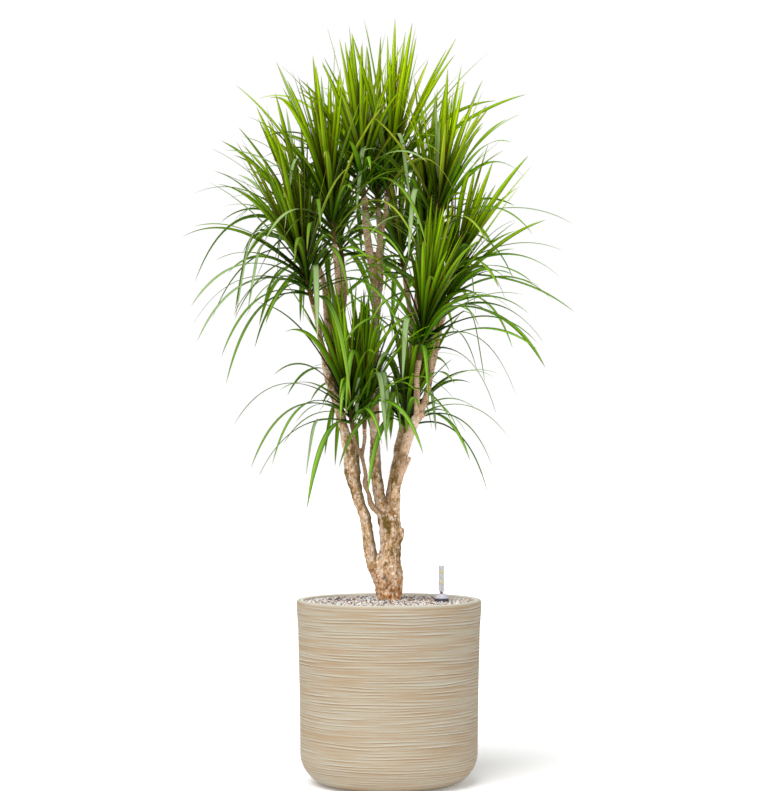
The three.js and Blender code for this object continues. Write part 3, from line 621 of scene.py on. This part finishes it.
def spline(rows, step):
    """A smooth line through rows of numbers that start with x, y and z, about step apart."""
    ends = 2 * rows[:1] - rows[1:2], 2 * rows[-1:] - rows[-2:-1]
    padded = np.vstack([ends[0], rows, ends[1]])
    parts = []
    for a, b, c, d in zip(padded, padded[1:], padded[2:], padded[3:]):
        count = max(2, round(np.linalg.norm((c - b)[:3]) / step))
        t = np.arange(count)[:, None] / count
        parts.append(b + (c - a) * t / 2 + (2 * a - 5 * b + 4 * c - d) * t**2 / 2
                     + (3 * b - a - 3 * c + d) * t**3 / 2)
    return np.vstack([*parts, rows[-1:]])


def unit(vectors):
    return vectors / np.linalg.norm(vectors, axis=-1, keepdims=True)


def wave(points, scale, offset=0.0):
    """Smooth noise from about -0.7 to 0.7 at each point. scale is a number or one for each axis."""
    return np.array([noise.noise(Vector(p)) for p in (points * scale + offset).tolist()])


def mix(first, second, share):
    return first + (second - first) * share


# ---------------------------------------------------------------- planter


def planter_profile():
    """The planter's outline from its foot up its outside, over its rim and down its inside."""
    corner = (POT_FOOT_RADIUS, POT_CORNER_RADIUS)
    rim = (POT_RIM_RADIUS - POT_RIM_ROUND, POT_HEIGHT - POT_RIM_ROUND)
    outside = [(POT_CAP_RADIUS, 0), *arc(corner, POT_CORNER_RADIUS, -90, 0, 24), *POT_SIDE,
               *arc(rim, POT_RIM_ROUND, 0, 90, 6)]
    wall = POT_RIM_RADIUS - POT_WALL
    lip = (wall + POT_LIP_ROUND, POT_HEIGHT - POT_LIP_ROUND)
    inside = [*arc(lip, POT_LIP_ROUND, 90, 180, 4), (wall - POT_LIP_ROUND, POT_TAPER_HEIGHT),
              *arc(corner, POT_CORNER_RADIUS - POT_WALL, 0, -90, 6), (POT_FLOOR_CAP, POT_FLOOR)]
    return np.array(outside), np.array(inside)


def build_planter():
    """The planter, with grooves drawn round it by hand while its skin was soft."""
    outside, inside = planter_profile()
    lengths = np.r_[0, np.cumsum(np.linalg.norm(np.diff(outside, axis=0), axis=1))]
    rows = np.linspace(0, lengths[-1], round(lengths[-1] / GROOVE_ROW))
    outline = np.stack([np.interp(rows, lengths, outside[:, i]) for i in (0, 1)], -1)
    along = unit(np.gradient(outline, axis=0))
    outward = np.stack([along[:, 1], -along[:, 0]], -1)
    turn = np.arange(POT_COLUMNS) * (2 * math.pi / POT_COLUMNS)
    circle = np.stack([np.cos(turn), np.sin(turn)], -1)
    at = np.zeros((len(rows), POT_COLUMNS, 3))
    at[..., :2] = circle * POT_RIM_RADIUS
    at[..., 2] = rows[:, None]
    at = at.reshape(-1, 3)
    strokes = at[:, 2] / GROOVE_PITCH
    for share, scale, offset in GROOVE_SWAY:
        strokes = strokes + share * wave(at, scale, offset)
    stroke = np.round(strokes)
    off = (strokes - stroke) * GROOVE_PITCH
    path = np.column_stack([at[:, :2] * GROOVE_CHANGE[0], stroke * GROOVE_CHANGE[1]])
    strength = np.clip(0.6 + 1.2 * wave(path, 1, 9), 0.15, 1)
    groove = np.clip(1 - np.abs(off) / GROOVE_HALF_WIDTH, 0, 1)
    burr = np.clip(1 - np.abs(off - BURR_OFFSET) / BURR_HALF_WIDTH, 0, 1)
    # comb is 0.5 on the plain skin, less in a groove and more on a burr.
    comb = (0.5 + strength * (0.45 * burr - 0.5 * groove)).reshape(len(rows), POT_COLUMNS)
    fade = np.clip((POT_HEIGHT - GROOVE_TOP - outline[:, 1]) / GROOVE_FADE, 0, 1)
    fade *= np.clip((rows - POT_CAP_RADIUS) / GROOVE_FOOT_FADE, 0, 1)
    comb = 0.5 + (comb - 0.5) * fade[:, None]
    sunk = (comb - 0.5) * 2 * GROOVE_DEPTH
    radius = outline[:, :1] + outward[:, :1] * sunk
    height = outline[:, 1:] + outward[:, 1:] * sunk
    outer = np.concatenate([radius[..., None] * circle, height[..., None]], -1)
    rings = np.concatenate([outer, turned(inside, POT_COLUMNS)])
    rest = (len(inside), POT_COLUMNS)
    numbers = {"comb": np.concatenate([comb, np.full(rest, 0.5)]).ravel(),
               "inside": np.concatenate([np.zeros_like(comb), np.ones(rest)]).ravel()}
    planter = make_piece(
        "combed_planter", rings.reshape(-1, 3), skin(rings), combed_plaster(), numbers=numbers)
    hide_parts("planter")


# ---------------------------------------------------------------- granules


def stone_shape(rng):
    """Points and faces of one crushed stone about the origin."""
    form = bmesh.new()
    for _ in range(STONE_POINTS):
        out = Vector([rng.gauss(0, 1) for _ in range(3)]).normalized()
        form.verts.new(out * rng.uniform(*STONE_ROUGHNESS))
    bmesh.ops.convex_hull(form, input=form.verts)
    bmesh.ops.delete(form, geom=[v for v in form.verts if not v.link_faces], context="VERTS")
    form.verts.index_update()
    places = np.array([v.co for v in form.verts])
    faces = np.array([[v.index for v in face.verts] for face in form.faces])
    form.free()
    return places, faces


def build_granules():
    """Loose stones, close together over the top of the granules."""
    rng = random.Random(STONE_SEED)
    shapes = [stone_shape(rng) for _ in range(STONE_SHAPES)]
    coat("granules", granule_bed())
    places, faces, shades, start = [], [], [], 0
    rows = int(GRANULES_REACH / STONE_ROW_PITCH) + 1
    for row in range(-rows, rows + 1):
        for column in range(-rows, rows + 1):
            x = (column + row % 2 / 2 + rng.uniform(-STONE_STRAY, STONE_STRAY)) * STONE_SPACING
            y = (row + rng.uniform(-STONE_STRAY, STONE_STRAY)) * STONE_ROW_PITCH
            away = math.hypot(x, y)
            from_gauge = math.hypot(x - GAUGE_AT[0], y - GAUGE_AT[1])
            size = rng.uniform(*STONE_SIZE)
            lift = rng.uniform(*STONE_LIFT) * MM
            shade = rng.random()
            spin = np.array(Quaternion([rng.gauss(0, 1) for _ in range(4)]).normalized().to_matrix())
            on_gauge = from_gauge < GAUGE_RING_RADIUS + GAUGE_CLEARANCE
            if on_gauge or not STUMP_CLEARANCE <= away <= GRANULES_REACH:
                continue
            shape, shape_faces = shapes[rng.randrange(STONE_SHAPES)]
            level = mix(GRANULES_EDGE, GRANULES_CENTRE, max(0, 1 - away / GRANULES_MOUND) ** 2)
            stone = (shape * STONE_FORM) @ spin.T * size
            places.append(stone + (x, y, level + lift))
            faces.append(shape_faces + start)
            shades.append(np.full(len(shape), shade))
            start += len(shape)
    make_piece("loose_granules", np.concatenate(places), np.concatenate(faces).tolist(), mineral_stone(),
               smooth=False, numbers={"shade": np.concatenate(shades)})


# ---------------------------------------------------------------- stump and canes


def limb_rings(line, sides):
    """Rings of a round limb along a line whose rows are x, y, z and radius."""
    centre, radius = line[:, None, :3], line[:, None, 3:]
    ahead = unit(np.gradient(line[:, :3], axis=0))
    across = unit(np.cross((0, 1, 0), ahead))[:, None]
    up = np.cross(ahead, across[:, 0])[:, None]
    turn = (np.arange(sides) * (2 * math.pi / sides))[:, None]
    return centre + radius * (across * np.cos(turn) + up * np.sin(turn))


def joined_limbs(lines):
    """One closed skin over the limbs, with soft joints between them."""
    places, faces, start = [], [], 0
    for number, line in enumerate(lines):
        rings = limb_rings(line, STUMP_SIDES if number == 0 else CANE_SIDES)
        faces += skin(rings, start)
        places.append(rings.reshape(-1, 3))
        start += rings.shape[0] * rings.shape[1]
    mesh = bpy.data.meshes.new("limbs")
    mesh.from_pydata(np.concatenate(places).tolist(), [], faces)
    draft = bpy.data.objects.new("limbs", mesh)
    bpy.context.scene.collection.objects.link(draft)
    remesh = draft.modifiers.new("remesh", "REMESH")
    remesh.mode = "VOXEL"
    remesh.voxel_size = VOXEL
    smooth = draft.modifiers.new("smooth", "SMOOTH")
    smooth.factor = 0.5
    smooth.iterations = 5
    made = bpy.data.meshes.new_from_object(draft.evaluated_get(bpy.context.evaluated_depsgraph_get()))
    bpy.data.objects.remove(draft)
    count = len(made.vertices)
    points, normals = np.zeros(count * 3), np.zeros(count * 3)
    made.vertices.foreach_get("co", points)
    made.vertices.foreach_get("normal", normals)
    faces = [list(face.vertices) for face in made.polygons]
    bpy.data.meshes.remove(made)
    return points.reshape(-1, 3), normals.reshape(-1, 3), faces


def places_on_limbs(points, lines):
    """For each point, on the limb whose skin is nearest: how far along, the radius, the turn about it."""
    reach = 40 * MM
    miss = np.full(len(points), np.inf)
    found = np.zeros((len(points), 4))
    for line in lines:
        low, high = line[:, :3].min(0) - reach, line[:, :3].max(0) + reach
        near = np.flatnonzero(np.all((points > low) & (points < high), axis=1))
        away = np.linalg.norm(points[near, None] - line[None, :, :3], axis=2)
        row = away.argmin(1)
        off = np.abs(away.min(1) - line[row, 3])
        better = off < miss[near]
        near, row = near[better], row[better]
        miss[near] = off[better]
        ahead = unit(np.gradient(line[:, :3], axis=0))
        steps = np.r_[0, np.cumsum(np.linalg.norm(np.diff(line[:, :3], axis=0), axis=1))]
        side = unit(np.cross((0, 1, 0), ahead))
        out = points[near] - line[row, :3]
        found[near, 0] = steps[row] + (out * ahead[row]).sum(1)
        found[near, 1] = line[row, 3]
        found[near, 2] = (out * side[row]).sum(1)
        found[near, 3] = (out * np.cross(ahead, side)[row]).sum(1)
    return found[:, 0], found[:, 1], unit(found[:, 2:])


def build_wood():
    """The stump and canes, with lumps, furrows and the rings that fallen leaves leave."""
    lines = [spline(np.array(rows, float) * MM, CANE_STEP) for _, rows in LIMBS]
    points, normals, faces = joined_limbs(lines)
    along, girth, turn = places_on_limbs(points, lines)
    lumps = wave(points, 42)
    knobs = wave(points, 105, 3)
    furrows = wave(points, (95, 95, 17), 7)
    fine = wave(points, 240, 2)
    stout = np.clip((girth - 10 * MM) / (14 * MM), 0, 1)
    raised = (0.16 - 0.06 * stout) * lumps + (0.1 - 0.005 * stout) * knobs
    sunk = raised - (0.03 + 0.05 * stout) * np.abs(furrows)
    points = points + normals * (girth * sunk + 0.7 * MM * fine)[:, None]
    hollow = np.clip(0.12 - np.abs(furrows), 0, 0.12) / 0.12 * (0.3 + 0.7 * stout) * (lumps < 0.1)
    numbers = {"along": along, "girth": girth, "height": points[:, 2], "hollow": hollow,
               "turn_x": turn[:, 0], "turn_y": turn[:, 1]}
    wood = make_piece("stump_and_canes_bark", points, faces, bark(), numbers=numbers)
    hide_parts("stump_and_canes")


# ---------------------------------------------------------------- leaves


def draw(*keys):
    """A repeatable draw from 0 to 1 that depends only on the whole numbers given."""
    word = 0xFFFFFFFF
    bits = 2166136261
    for key in keys:
        bits = ((bits ^ key) * 16777619) & word
        bits = ((bits ^ (bits >> 15)) * 2246822507) & word
        bits ^= bits >> 13
    return bits / (word + 1)


class Tuft:
    """The leafy end of a cane."""

    def __init__(self, number, name, rows):
        before, self.base = np.array(rows, float)[-2:, :3] * MM
        self.axis = unit(self.base - before)
        self.number = number
        self.name = name
        self.leaves, length, self.open, self.droop, core, self.fillers = TUFTS[name]
        self.length = length * MM
        self.core = core * MM
        self.side = unit(np.cross((0, 1, 0), self.axis))
        self.blades = []


class Leaf:
    """One leaf's centre line: it leaves the cane at an angle and bends towards the ground.

    age is 0 for the youngest, upright in the middle of the tuft, and 1 for the oldest, at its foot."""

    def __init__(self, tuft, leaf, age, attempt, turn, reach=1.0, folded=False):
        freedom = 1 + attempt * WANDER_GROWTH

        def wander(channel):
            return (draw(tuft.number, leaf, attempt, channel) * 2 - 1) * freedom

        turn += tuft.number + wander(1) * WANDER_TURN
        opened = math.radians(mix(YOUNGEST_OPEN, tuft.open, age**OPEN_GROWTH) + wander(2) * WANDER_OPEN)
        self.droop = YOUNGEST_DROOP + tuft.droop * age**1.3 * (1 + wander(3) * WANDER_DROOP)
        growth = mix(YOUNGEST_LENGTH, 1, age**0.5) * (1 + wander(4) * WANDER_LENGTH) * reach
        stride = tuft.length * growth / LEAF_STEPS
        outward = tuft.side * math.cos(turn) + np.cross(tuft.axis, tuft.side) * math.sin(turn)
        start = tuft.axis * math.cos(opened) + outward * math.sin(opened)
        root = tuft.base + tuft.axis * tuft.core * mix(0.93, 0.1, age) + outward * LEAF_ROOT_DEPTH
        share = np.arange(1, LEAF_STEPS + 1) / LEAF_STEPS
        fall = self.droop * share**1.4
        if folded:
            fall = fall * 0.5 + FOLDED_DROP * np.clip((share - FOLDED_AT) * FOLDED_RATE, 0, 1)
        headings = start - np.outer(fall, (0, 0, 1))
        self.path = np.vstack([root, root + np.cumsum(unit(headings) * stride, axis=0)])
        self.across = np.cross(tuft.axis, outward)
        self.age = age
        self.tone = draw(tuft.number, leaf, 0, 9)
        self.twist = (draw(tuft.number, leaf, 0, 10) * 2 - 1) * mix(*BLADE_TWIST, age)
        self.breadth = BLADE_BREADTH
        # Painted sheen: how pale the upper side is painted where the leaf hangs, fully on a folded leaf, and
        # all along on a share of the leaves.
        self.bloom = 1.0 if folded else HANGING_SHEEN
        self.paleness = PALENESS if draw(tuft.number, leaf, 0, 5) < PALE_SHARE else 0

    def stretches(self):
        """Starts, ends and radii of the straight stretches that hold the leaf, as in the CAD."""
        stations = FEW_STATIONS if self.droop < MANY_FROM_DROOP else MANY_STATIONS
        points = self.path[stations]
        halves = half_width(np.array(stations) / LEAF_STEPS)
        return points[:-1], points[1:], np.maximum(halves[:-1], halves[1:])


def half_width(share, root=LEAF_ROOT_HALF_WIDTH):
    """Half the leaf's width at a share of its length."""
    past = np.clip((share - LEAF_WIDEST_AT) / (1 - LEAF_WIDEST_AT), 0, 1)
    grown = mix(root, LEAF_HALF_WIDTH, share / LEAF_WIDEST_AT)
    return np.where(share < LEAF_WIDEST_AT, grown, LEAF_HALF_WIDTH * (1 - past**2.2) ** 0.8)


class Obstacles:
    """What the leaves stay clear of: canes, leafy ends, and the leaves placed so far."""

    def __init__(self):
        self.starts, self.ends = np.zeros((0, 3)), np.zeros((0, 3))
        self.radii, self.owners = np.zeros(0), np.zeros(0, int)
        self.is_wood, self.is_first = np.zeros(0, bool), np.zeros(0, bool)

    def add(self, starts, ends, radii, owner, is_wood):
        count = len(radii)
        self.starts = np.vstack([self.starts, starts])
        self.ends = np.vstack([self.ends, ends])
        self.radii = np.r_[self.radii, radii]
        self.owners = np.r_[self.owners, np.full(count, owner)]
        self.is_wood = np.r_[self.is_wood, np.full(count, is_wood)]
        self.is_first = np.r_[self.is_first, np.arange(count) == 0]

    def distances(self, start, end):
        """How far each obstacle's centre line is from the stretch from start to end."""
        along, other = end - start, self.ends - self.starts
        between = start - self.starts
        a, b, c = along @ along, other @ along, between @ along
        e, f = (other * other).sum(1), (other * between).sum(1)
        first = np.clip((b * f - c * e) / np.maximum(a * e - b * b, 1e-24), 0, 1)
        share = np.clip((b * first + f) / e, 0, 1)
        nearest = start + np.outer(np.clip((b * share - c) / a, 0, 1), along)
        return np.linalg.norm(nearest - self.starts - other * share[:, None], axis=1)

    def is_clear(self, leaf, owner, only_wood=False):
        """True if the leaf is clear. Roots of one tuft's leaves lie close together by nature."""
        starts, ends, radii = leaf.stretches()
        own = self.owners == owner
        for i, (start, end, radius) in enumerate(zip(starts, ends, radii)):
            passed = own & (i == 0) | own & self.is_first & ~self.is_wood
            if only_wood:
                passed = passed | ~self.is_wood
            reach = radius + self.radii + np.where(own, 0, LEAF_CLEARANCE)
            if not np.all((self.distances(start, end) > reach) | passed):
                return False
        return True


def place_leaves(tufts):
    """Places the CAD's leaves again by the CAD's rule, and then the leaves that fill each tuft."""
    numbers = {tuft.name: tuft.number for tuft in tufts}
    room = Obstacles()
    for name, rows in LIMBS:
        line = np.array(rows, float) * MM
        radii = np.maximum(line[:-1, 3], line[1:, 3])
        room.add(line[:-1, :3], line[1:, :3], radii, numbers.get(name, -1), True)
    for tuft in tufts:
        tip = tuft.base + tuft.axis * tuft.core
        room.add(tuft.base[None], tip[None], [CORE_RADIUS], tuft.number, True)
    for rank in range(1, max(tuft.leaves for tuft in tufts) + 1):
        for tuft in tufts:
            leaf = tuft.leaves - rank
            if leaf < 0:
                continue
            age = 1 - leaf / (tuft.leaves - 1)
            for attempt in range(LEAF_TRIES):
                made = Leaf(tuft, leaf, age, attempt, leaf * GOLDEN_ANGLE)
                if room.is_clear(made, tuft.number):
                    room.add(*made.stretches(), tuft.number, False)
                    tuft.blades.append(made)
                    break
    for tuft in tufts:
        for filler in range(tuft.fillers):
            leaf = FILLER_FIRST + filler
            age = FILLER_OLDEST * ((filler + 0.5) / tuft.fillers) ** FILLER_GROWTH
            folded = age > FOLDED_FROM_AGE and draw(tuft.number, leaf, 0, 8) < FOLDED_SHARE
            reach = mix(*FILLER_REACH, draw(tuft.number, leaf, 0, 7))
            turn = (filler + FILLER_TURN) * GOLDEN_ANGLE
            for attempt in range(FILLER_TRIES):
                made = Leaf(tuft, leaf, age, attempt, turn, reach, folded)
                if room.is_clear(made, tuft.number, only_wood=True):
                    breadth = mix(*FILLER_BREADTH, draw(tuft.number, leaf, 0, 6))
                    made.breadth = FOLDED_BREADTH if folded else breadth
                    tuft.blades.append(made)
                    break


def blade_rings(leaf):
    """Rings of eight points about the leaf: five across its upper side and three back under it."""
    share = np.linspace(0, 1, LEAF_STEPS + 1)
    ahead = unit(np.gradient(leaf.path, axis=0))
    across = [leaf.across]
    for heading in ahead:
        across.append(unit(across[-1] - heading * (heading @ across[-1])))
    across = np.array(across[1:])
    up = np.cross(ahead, across)
    twist = (leaf.twist * share**1.5)[:, None]
    across, up = across * np.cos(twist) + up * np.sin(twist), up * np.cos(twist) - across * np.sin(twist)
    half = np.maximum(half_width(share, BLADE_ROOT_HALF_WIDTH) * leaf.breadth, BLADE_TIP_HALF_WIDTH)
    fold = np.radians(mix(*BLADE_FOLD, np.clip(share / BLADE_FLAT_FROM, 0, 1)))
    hanging = np.clip((0.1 - ahead[:, 2]) / 0.8, 0, 1)
    thick = mix(*BLADE_THICKNESS, share**0.5) * MM
    rings = []
    for lane, below in BLADE_LANES[::-1]:
        lift = abs(lane) * half * np.sin(fold) - below * thick * np.minimum(1, half / (2 * MM))
        rings.append(leaf.path + across * (lane * half * np.cos(fold))[:, None] + up * lift[:, None])
    return np.stack(rings, 1), share, hanging


def build_tufts():
    """The tufts, each one piece: its leaves and the sheathed end of the cane that they grow from."""
    named = [(name, rows) for name, rows in LIMBS if name]
    tufts = [Tuft(number, name, rows) for number, (name, rows) in enumerate(named)]
    place_leaves(tufts)
    finish = leaf_blade()
    lane, below = np.array(BLADE_LANES[::-1], float).T
    for tuft in tufts:
        places, faces, start = [], [], 0
        numbers = {title: [] for title in CORE_NUMBERS}
        for leaf in tuft.blades:
            rings, share, hanging = blade_rings(leaf)
            count, sides = rings.shape[:2]
            faces += skin(rings, start)
            places.append(rings.reshape(-1, 3))
            start += count * sides
            numbers["age"].append(np.full(count * sides, leaf.age))
            numbers["tone"].append(np.full(count * sides, leaf.tone))
            numbers["along"].append(np.repeat(share, sides))
            numbers["across"].append(np.tile(lane, count))
            # Painted sheen, on the upper side of the blade only.
            bloom = np.maximum(hanging * leaf.bloom, leaf.paleness * (share > 0.05))
            numbers["bloom"].append(np.outer(bloom, 1 - below).ravel())
        line = np.array([(*(tuft.base + tuft.axis * tuft.core * share), radius * MM)
                         for share, radius in CORE_SHAPE])
        core = limb_rings(line, CORE_SIDES)
        faces += skin(core, start)
        places.append(core.reshape(-1, 3))
        for title, value in CORE_NUMBERS.items():
            numbers[title].append(np.full(len(places[-1]), value))
        numbers = {title: np.concatenate(values) for title, values in numbers.items()}
        name = tuft.name.replace("leaves", "blades")
        piece = make_piece(name, np.concatenate(places), faces, finish, numbers=numbers)
        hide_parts(tuft.name)


# ---------------------------------------------------------------- water gauge


def build_gauge():
    """Finer rounds of the gauge's parts, of the size that the CAD gives them."""
    tube_low, tube_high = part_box("gauge_tube")
    ring_low, ring_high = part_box("gauge_ring")
    collar_low, collar_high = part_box("gauge_collar")
    tip_low, tip_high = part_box("gauge_tip")
    float_low, float_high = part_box("gauge_float")
    plug_low, plug_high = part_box("gauge_plug")
    around = GAUGE_COLLAR_HOLE
    shoulder, top = GAUGE_CHAMBER_TOP, tube_high.z
    crown = (GAUGE_TUBE_RADIUS - GAUGE_TUBE_ROUND, top - GAUGE_TUBE_ROUND)
    tube = [
        (GAUGE_CHAMBER_RADIUS, tube_low.z), (GAUGE_CHAMBER_RADIUS, shoulder - GAUGE_SHOULDER),
        (GAUGE_TUBE_RADIUS, shoulder), (GAUGE_TUBE_RADIUS, top - GAUGE_TUBE_ROUND),
        *arc(crown, GAUGE_TUBE_ROUND, 20, 90, 4), (0.2 * MM, top), (0.2 * MM, top - GAUGE_TUBE_CAP),
        (GAUGE_TUBE_BORE, top - GAUGE_TUBE_CAP), (GAUGE_TUBE_BORE, shoulder - 2 * MM),
        (GAUGE_CHAMBER_BORE, shoulder - 5 * MM), (GAUGE_CHAMBER_BORE, tube_low.z)]
    collar = [
        (around, collar_low.z), (15.5 * MM, collar_low.z), (15.8 * MM, collar_low.z + 1 * MM),
        (14.4 * MM, collar_low.z + 2.6 * MM), (11.6 * MM, collar_low.z + 5.2 * MM),
        (9.6 * MM, collar_high.z - 2 * MM), (8.2 * MM, collar_high.z - 0.4 * MM),
        (7.6 * MM, collar_high.z), (around, collar_high.z)]
    rim, edge = GAUGE_RING_RADIUS - GAUGE_EDGE_ROUND, GAUGE_EDGE_ROUND
    ring = [
        (around, ring_low.z), *arc((rim, ring_low.z + edge), edge, -90, 0, 3),
        *arc((rim, ring_high.z - edge), edge, 0, 90, 3), (around, ring_high.z)]
    plug = [
        (GAUGE_PLUG_HOLE, plug_low.z), (GAUGE_PLUG_RADIUS, plug_low.z), (GAUGE_PLUG_RADIUS, plug_high.z),
        (GAUGE_PLUG_HOLE, plug_high.z)]
    flank = FLOAT_RADIUS - FLOAT_ROUND
    bob = [
        (FLOAT_CAP_RADIUS, float_low.z), *arc((flank, float_low.z + FLOAT_ROUND), FLOAT_ROUND, -90, 0, 4),
        *arc((flank, float_low.z + FLOAT_LENGTH - FLOAT_ROUND), FLOAT_ROUND, 0, 90, 4),
        (FLOAT_ROD_RADIUS, float_low.z + FLOAT_LENGTH), (FLOAT_ROD_RADIUS, float_high.z)]
    dome = (FLOAT_TIP_RADIUS - FLOAT_TIP_ROUND, tip_high.z - FLOAT_TIP_ROUND)
    tip = [
        (0.5 * MM, tip_low.z), (2.5 * MM, tip_low.z), (FLOAT_TIP_RADIUS, tip_low.z + 0.6 * MM),
        *arc(dome, FLOAT_TIP_ROUND, 0, 90, 4), (0.3 * MM, tip_high.z)]
    # Dark plastic for the base ring and the plug. The ring's dark is partly its own colour and partly
    # painted shade under the cone's rim.
    dark = moulded_plastic("dark_plastic", "#5d5562", "#443d49", 0.45)
    parts = [
        ("clear_tube", tube, frosted_tube(), "gauge_tube", "gauge_tube", "planter", True),
        ("gauge_cone", collar, moulded_plastic("pale_plastic", "#d5d3de", "#bcbac8", 0.3), "gauge_collar",
         "gauge_collar", "planter", True),
        ("gauge_base", ring, dark, "gauge_ring", "gauge_ring", "planter", True),
        ("chamber_plug", plug, dark, "gauge_ring", "gauge_plug", "planter", True),
        ("float_and_rod", bob, moulded_plastic("float_foam", "#f3f1ea", "#e4e0d6", 0.6), "float",
         "gauge_float", "float", False),
        ("red_tip", tip, moulded_plastic("red_plastic", "#b81c02", "#8c1202", 0.35), "float_tip",
         "gauge_tip", "float", False),
    ]
    for name, profile, material, slot, node, body, hollow in parts:
        rings = turned(profile, GAUGE_SIDES, GAUGE_AT)
        faces = skin(rings, loop=hollow)
        piece = make_piece(name, rings.reshape(-1, 3), faces, material, body)
        piece.data.set_sharp_from_angle(angle=math.radians(GAUGE_CREASE))
        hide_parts(node)


def build_marks():
    """Yellow marks printed on the front of the tube."""
    yellow = moulded_plastic("yellow_print", "#e6d68e", "#dcc872", 0.4)
    spread, tall = GAUGE_MARK_SIZE
    turn = np.radians(np.linspace(-90 - spread, -90 + spread, GAUGE_MARK_POINTS))
    for number, height in enumerate(GAUGE_MARK_HEIGHTS):
        rings = []
        for proud, rise in GAUGE_MARK_SECTION:
            out = GAUGE_TUBE_RADIUS + proud * MM
            x, y = GAUGE_AT[0] + out * np.cos(turn), GAUGE_AT[1] + out * np.sin(turn)
            rings.append(np.stack([x, y, np.full(len(turn), height + rise * tall)], -1))
        rings = np.array(rings)
        count, sides = rings.shape[:2]
        faces = [[r * sides + s, r * sides + s + 1, (r + 1) * sides + s + 1, (r + 1) * sides + s]
                 for r in range(count - 1) for s in range(sides - 1)]
        make_piece(f"gauge_mark_{number}", rings.reshape(-1, 3), faces, yellow)


# ---------------------------------------------------------------- stage


def build_stage():
    turn = np.linspace(0, 2 * math.pi, FLOOR_SIDES, endpoint=False)
    edge = np.stack([np.cos(turn), np.sin(turn), np.zeros(FLOOR_SIDES)], -1) * FLOOR_RADIUS
    mesh = bpy.data.meshes.new("floor")
    mesh.from_pydata(edge.tolist(), [], [list(range(FLOOR_SIDES))])
    mesh.materials.append(studio_floor())
    floor = bpy.data.objects.new("floor", mesh)
    bpy.context.scene.collection.objects.link(floor)


def build_lights():
    world = bpy.data.worlds.new("studio")
    world.use_nodes = True
    sky = world.node_tree.nodes["Background"]
    sky.inputs["Color"].default_value = (1, 1, 1, 1)
    seen = world.node_tree.nodes.new("ShaderNodeLightPath")
    lift = world.node_tree.nodes.new("ShaderNodeMath")
    lift.operation = "MULTIPLY_ADD"
    lift.inputs[1].default_value = 1 - SKY_STRENGTH
    lift.inputs[2].default_value = SKY_STRENGTH
    world.node_tree.links.new(seen.outputs["Is Camera Ray"], lift.inputs[0])
    world.node_tree.links.new(lift.outputs[0], sky.inputs["Strength"])
    bpy.context.scene.world = world
    bpy.context.scene.view_settings.view_transform = "Standard"
    for name, strength, spread, turn in SUNS:
        data = bpy.data.lights.new(name, "SUN")
        data.energy = strength
        data.angle = math.radians(spread)
        lamp = bpy.data.objects.new(name, data)
        lamp.rotation_euler = [math.radians(a) for a in turn]
        bpy.context.scene.collection.objects.link(lamp)


def build_camera():
    data = bpy.data.cameras.new("camera")
    data.lens = CAMERA_LENS
    data.clip_end = CAMERA_CLIP
    camera = bpy.data.objects.new("camera", data)
    camera.location = CAMERA_AT
    camera.rotation_euler = (math.radians(90 + CAMERA_PITCH), 0, 0)
    bpy.context.scene.collection.objects.link(camera)
    bpy.context.scene.camera = camera


build_camera()
build_stage()
build_lights()
build_planter()
build_granules()
build_wood()
build_tufts()
build_gauge()
build_marks()
coat("root_ball", potting_soil())
